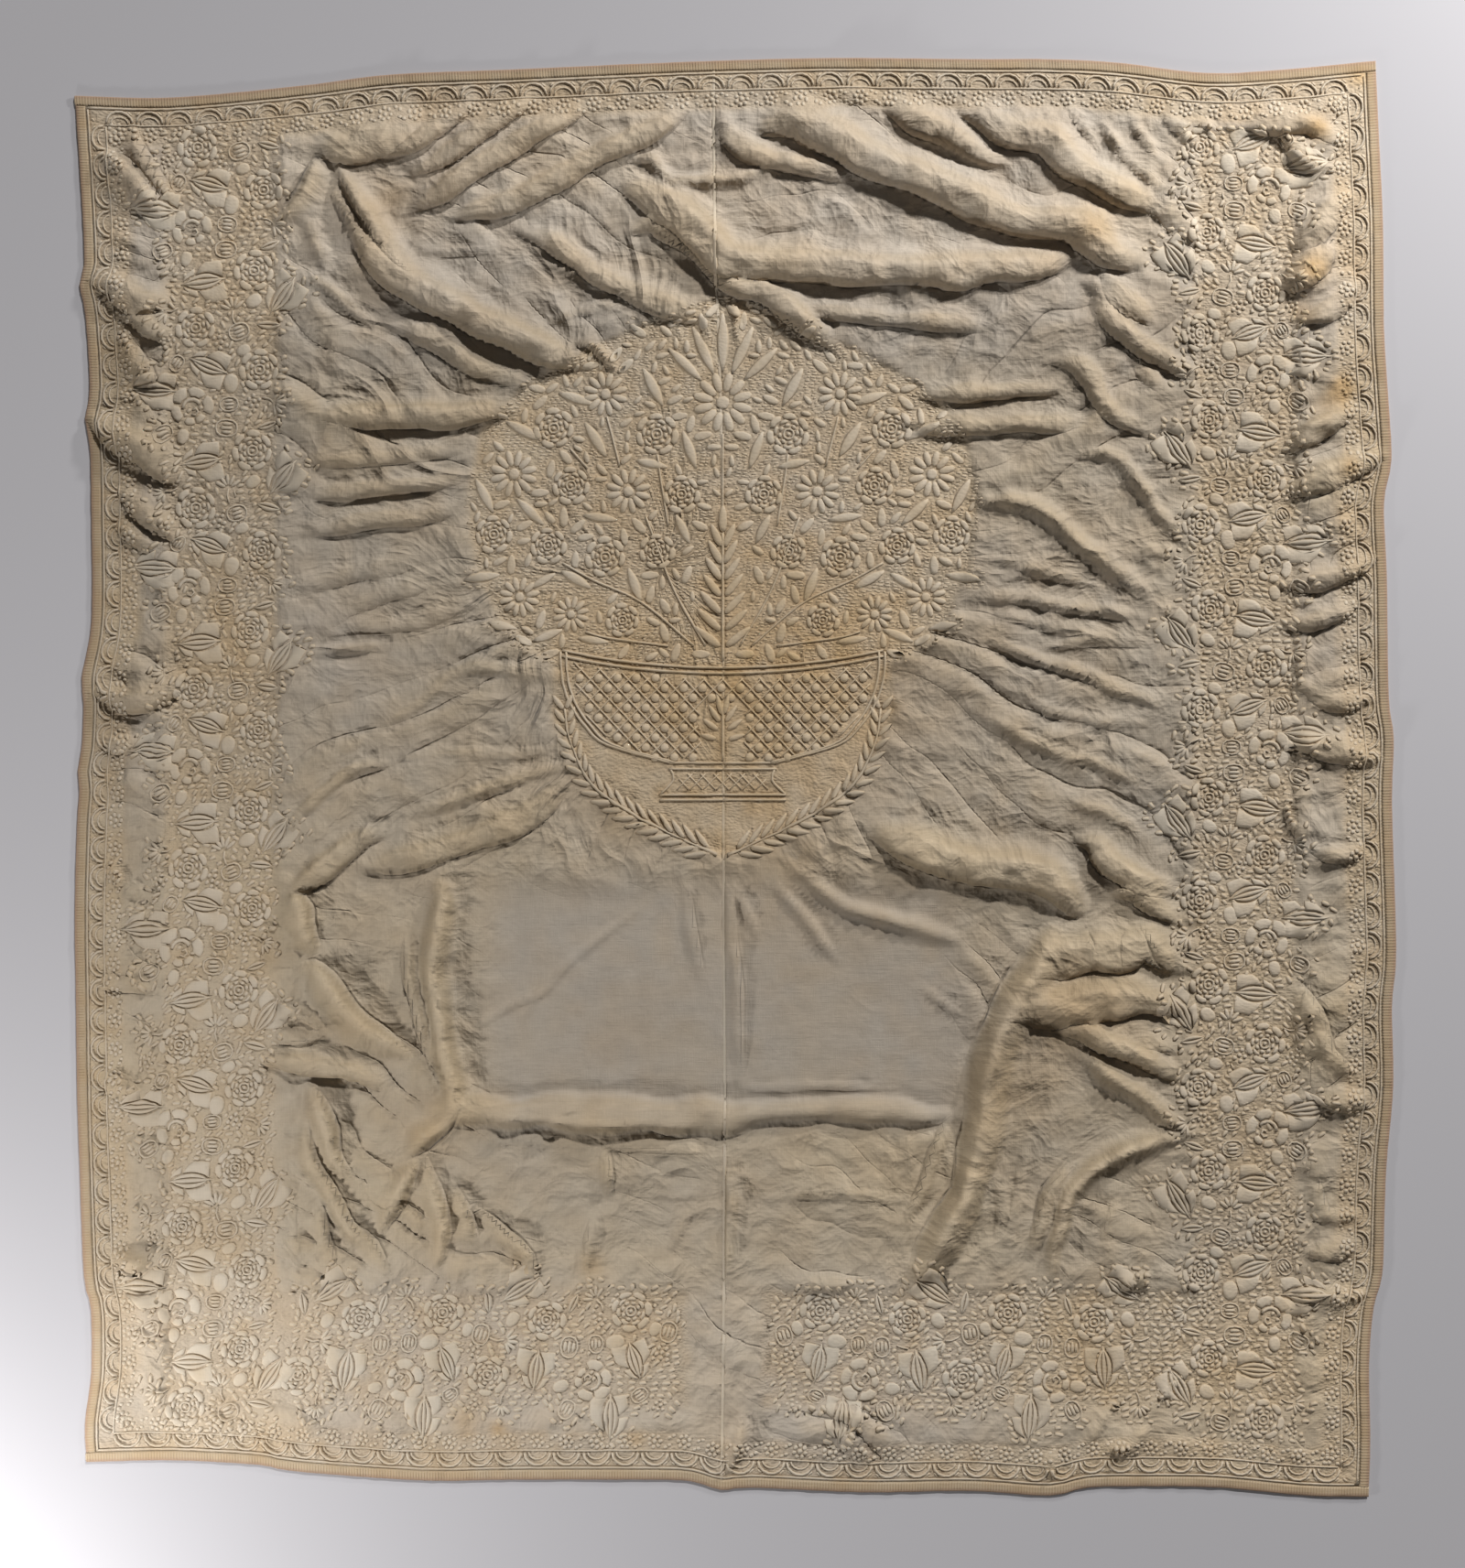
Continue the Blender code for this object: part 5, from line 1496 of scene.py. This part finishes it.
def creases(n, _):
    """Fine sharp creases that run out from the medallion, as a height from 0 to 1, thicker here and there."""
    off = n.vector("SUBTRACT", n.bent_place(5, 1, 0.16), (-0.05, 0.44, 0))[0]
    flat = n.vector("MULTIPLY", off, (1, 1, 0))[0]
    reach = n.vector("LENGTH", flat)["Value"]
    way = n.vector("NORMALIZE", flat)[0]
    parts = []
    for around, along, sharp, share in ((5.5, 5, 7, 0.55), (11, 11, 6, 0.28), (24, 24, 5, 0.14)):
        out = n.put("ShaderNodeCombineXYZ", {2: n.times(reach, along)}).outputs[0]
        at = n.vector("ADD", n.vector("SCALE", way, scale=around)[0], out)[0]
        noise = n.put("ShaderNodeTexNoise", {"Vector": at, "Scale": 1, "Detail": 1}).outputs[0]
        off_middle = n.maths("ABSOLUTE", n.less(noise, 0.5))
        parts.append((n.less(1, n.times(off_middle, sharp), True), share))
    patchy = n.scaled(n.grain(4, 1), 3, -0.8, True)
    return [n.times(n.times(n.total(parts), patchy), n.told("slack"))]


def laps(n, _):
    """The creases where rolls of cloth lap and at the feet of the folds: 1 in a crease, 0 away from it; it
    drives a bump and painted shade.
    """
    lines = []
    for off, reach, depth in (("wave", 0.17, "lapped"), ("foot", 0.5, "sharp")):
        aside = n.maths("DIVIDE", n.maths("ABSOLUTE", n.told(off)), reach)
        line = n.maths("POWER", n.less(1, aside, True), 1.5)
        lines.append(n.times(line, n.told(depth), True))
    return [n.times(n.maths("MAXIMUM", *lines), n.scaled(n.grain(9, 1), 2.4, -0.45), True)]


def painted_flank_shade(n, _):
    """Painted shade on the steep sides of folds and stuffing, strongest where the warmth tone is high: 0 to
    1.
    """
    facing = n.put("ShaderNodeSeparateXYZ", {0: n.put("ShaderNodeNewGeometry").outputs["Normal"]}).outputs[2]
    steep = n.times(n.less(0.95, n.maths("ABSOLUTE", facing)), 2.6, True)
    return [n.times(steep, n.scaled(n.told("warmth"), 1.1, 0.15, True))]


THREADS = new_group("cotton_threads", (), [("Height", "Float")], threads)
AGE = new_group("aged_cotton", (("Fresh", "Color"), ("Warm", "Color"), ("Stain", "Color"), ("Wear", "Float")),
                (("Color", "Color"), ("Roughness", "Float")), age)
LAPS = new_group("lapped_creases", (), [("Crease", "Float")], laps)
PITS = new_group("stitched_pits", [("Pitch", "Float")], [("Height", "Float")], pits)
CRUMPLE = new_group("fine_crumple", (), [("Height", "Float")], crumple)
CREASES = new_group("fine_creases", (), [("Height", "Float")], creases)
PAINTED_FLANK_SHADE = new_group("painted_shade_on_slopes", (), [("PaintedShade", "Float")], painted_flank_shade)


def new_material(name):
    material = bpy.data.materials.new(name)
    material.use_nodes = True
    return material, material.node_tree.nodes["Principled BSDF"].inputs


def cotton(name, fresh, warm, stain, wear, pit, fold, thread, grooves, edge=None):
    """Aged woven cotton, darker in its grooves, with painted shade on steep slopes and, on folded cloth, in
    its creases, and stitched pits where the cloth is worked.
    """
    material, shader = new_material(name)
    n = Nodes(material.node_tree)
    stain = (*stain, 1)
    colour, rough = n.use(AGE, {"Fresh": (*fresh, 1), "Warm": (*warm, 1), "Stain": stain, "Wear": wear})
    colour = n.mixed(n.times(n.told("worked" if fold else "groove"), grooves), colour, stain)
    # Painted shade: the steep slopes of folds and stuffing are darkened in colour
    flank_shade = n.times(n.use(PAINTED_FLANK_SHADE)[0], 0.58 if fold else 0.26)
    colour = n.mixed(flank_shade, colour, (0.20, 0.15, 0.085, 1))
    if edge:
        colour = n.mixed(n.times(n.told("outer"), 0.7), colour, (*edge, 1))
    normal = n.raised(n.use(THREADS)[0], thread)
    if pit:
        normal = n.raised(n.times(n.use(PITS, {"Pitch": 210})[0], n.told("worked")), pit, normal)
    if fold:
        normal = n.raised(n.use(CRUMPLE)[0], fold, normal)
        normal = n.raised(n.use(CREASES)[0], 0.009, normal)
        crease = n.use(LAPS)[0]
        normal = n.raised(n.less(1, crease), 0.0035, normal)
        # Painted shade: the creases of the rolls and the feet of the folds are darkened in colour
        colour = n.mixed(n.times(crease, 0.3), colour, (0.20, 0.15, 0.09, 1))
    for key, value in (("Base Color", colour), ("Roughness", rough), ("Normal", normal)):
        n.tree.links.new(value, shader[key])
    shader["Specular IOR Level"].default_value = 0.25
    shader["Sheen Weight"].default_value = 0.12
    shader["Sheen Roughness"].default_value = 0.5
    return material


CLOTH = cotton("aged_cream_cotton", (0.455, 0.398, 0.333), (0.535, 0.44, 0.315), (0.46, 0.30, 0.14), 0.14,
               0.0012, 0.0078, 0.0004, 0.12)
STUFFED = cotton("stuffed_cream_cotton", (0.54, 0.48, 0.395), (0.61, 0.515, 0.40), (0.47, 0.32, 0.15), 0.12,
                 0.0004, 0, 0.00022, 0.42)
TAPE = cotton("ribbed_tan_tape", (0.46, 0.38, 0.275), (0.49, 0.39, 0.27), (0.40, 0.26, 0.13), 0.14,
              0, 0, 0.0003, 0.35, edge=(0.38, 0.24, 0.17))


# The pieces
left_cloth = lay_width("left_cloth_width", CLOTH, False)
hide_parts("left_width")
right_cloth = lay_width("right_cloth_width", CLOTH, True)
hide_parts("right_width")
tapes = [lay_tape(side) for side in SIDES]

lay_band("left_vine_band", 80, ((Band((-75.5, 94), math.pi, 1, 0.957, LEFT_BOW), -17, 214),),
         side_ground(-LEFT_BAND[1], -LEFT_BAND[0]), (-108, -116), (-72, 114))
lay_band("right_vine_band", 90, ((Band((73.8, 101), 0, -1), -11, 216),),
         side_ground(RIGHT_BAND[0], RIGHT_BAND[1]), (71, -116), (106, 114))
lay_band("bottom_vine_band", 100,
         ((Band((-8.8, -86), -0.25 * TURN, 1), 17, 80), (Band((5.6, -86), -0.25 * TURN, -1), 17, 82)),
         low_ground, (-78, -117), (78, -84))
medallion_work()
seam_ridge = Work("middle_seam_ridge")
seam_ridge.cord(flowing(SEAM, 0.9)[2:-2], 0.7, 0.05)
seam_ridge.finish(STUFFED)
edging_work()


# Floor, light and camera
def plain_floor():
    bm = bmesh.new()
    bmesh.ops.create_grid(bm, x_segments=2, y_segments=2, size=6)
    for v in bm.verts:
        v.co.z = -0.0006
    mesh = bpy.data.meshes.new("pale_floor")
    bm.to_mesh(mesh)
    bm.free()
    material, shader = new_material("pale_floor")
    shader["Base Color"].default_value = (0.56, 0.55, 0.58, 1)
    shader["Roughness"].default_value = 0.9
    mesh.materials.append(material)
    shown("pale_floor", mesh)


def add_light(name, kind, power, tint, place, aim, **shape):
    """A light of this kind and power at its place, turned to its aim."""
    data = bpy.data.lights.new(name, kind)
    data.energy = power
    data.color = tint
    for key, value in shape.items():
        setattr(data, key, value)
    obj = shown(name, data)
    obj.location = place
    obj.rotation_euler = (Vector(aim) - Vector(place)).to_track_quat("-Z", "Y").to_euler()


plain_floor()
# The window's even light: its turn clockwise from the top edge, its tilt up from the floor
window_turn = math.radians(24)
window_tilt = math.radians(34)
window = Vector((math.sin(window_turn) * math.cos(window_tilt), math.cos(window_turn) * math.cos(window_tilt),
                 math.sin(window_tilt)))
add_light("window_top", "SUN", 2.18, (1, 0.99, 0.97), 4 * window, (0, 0, 0), angle=math.radians(3.5))
# One row for each lamp: name, power, tint, place, aim, size
for name, power, tint, place, aim, size in (
        ("key_upper_right", 60, (1, 0.99, 0.97), (2.4, 2.4, 1.3), (0.3, 0.4, 0), 0.25),
        ("key_lower_left", 31, (1, 0.99, 0.975), (-1.9, -1.95, 0.7), (-0.7, -0.6, 0), 0.18)):
    add_light(name, "AREA", power, tint, place, aim, shape="DISK", size=size)
world = bpy.data.worlds.new("soft_room")
world.use_nodes = True
room = world.node_tree.nodes["Background"].inputs
room["Color"].default_value = (1, 0.985, 0.97, 1)
room["Strength"].default_value = 0.05
bpy.context.scene.world = world
bpy.context.scene.view_settings.view_transform = "Standard"

camera = shown("camera", bpy.data.cameras.new("camera"))
camera.location = (-0.005, -0.0114, 5)
camera.data.lens = 65.67
camera.data.sensor_width = 36
bpy.context.scene.camera = camera
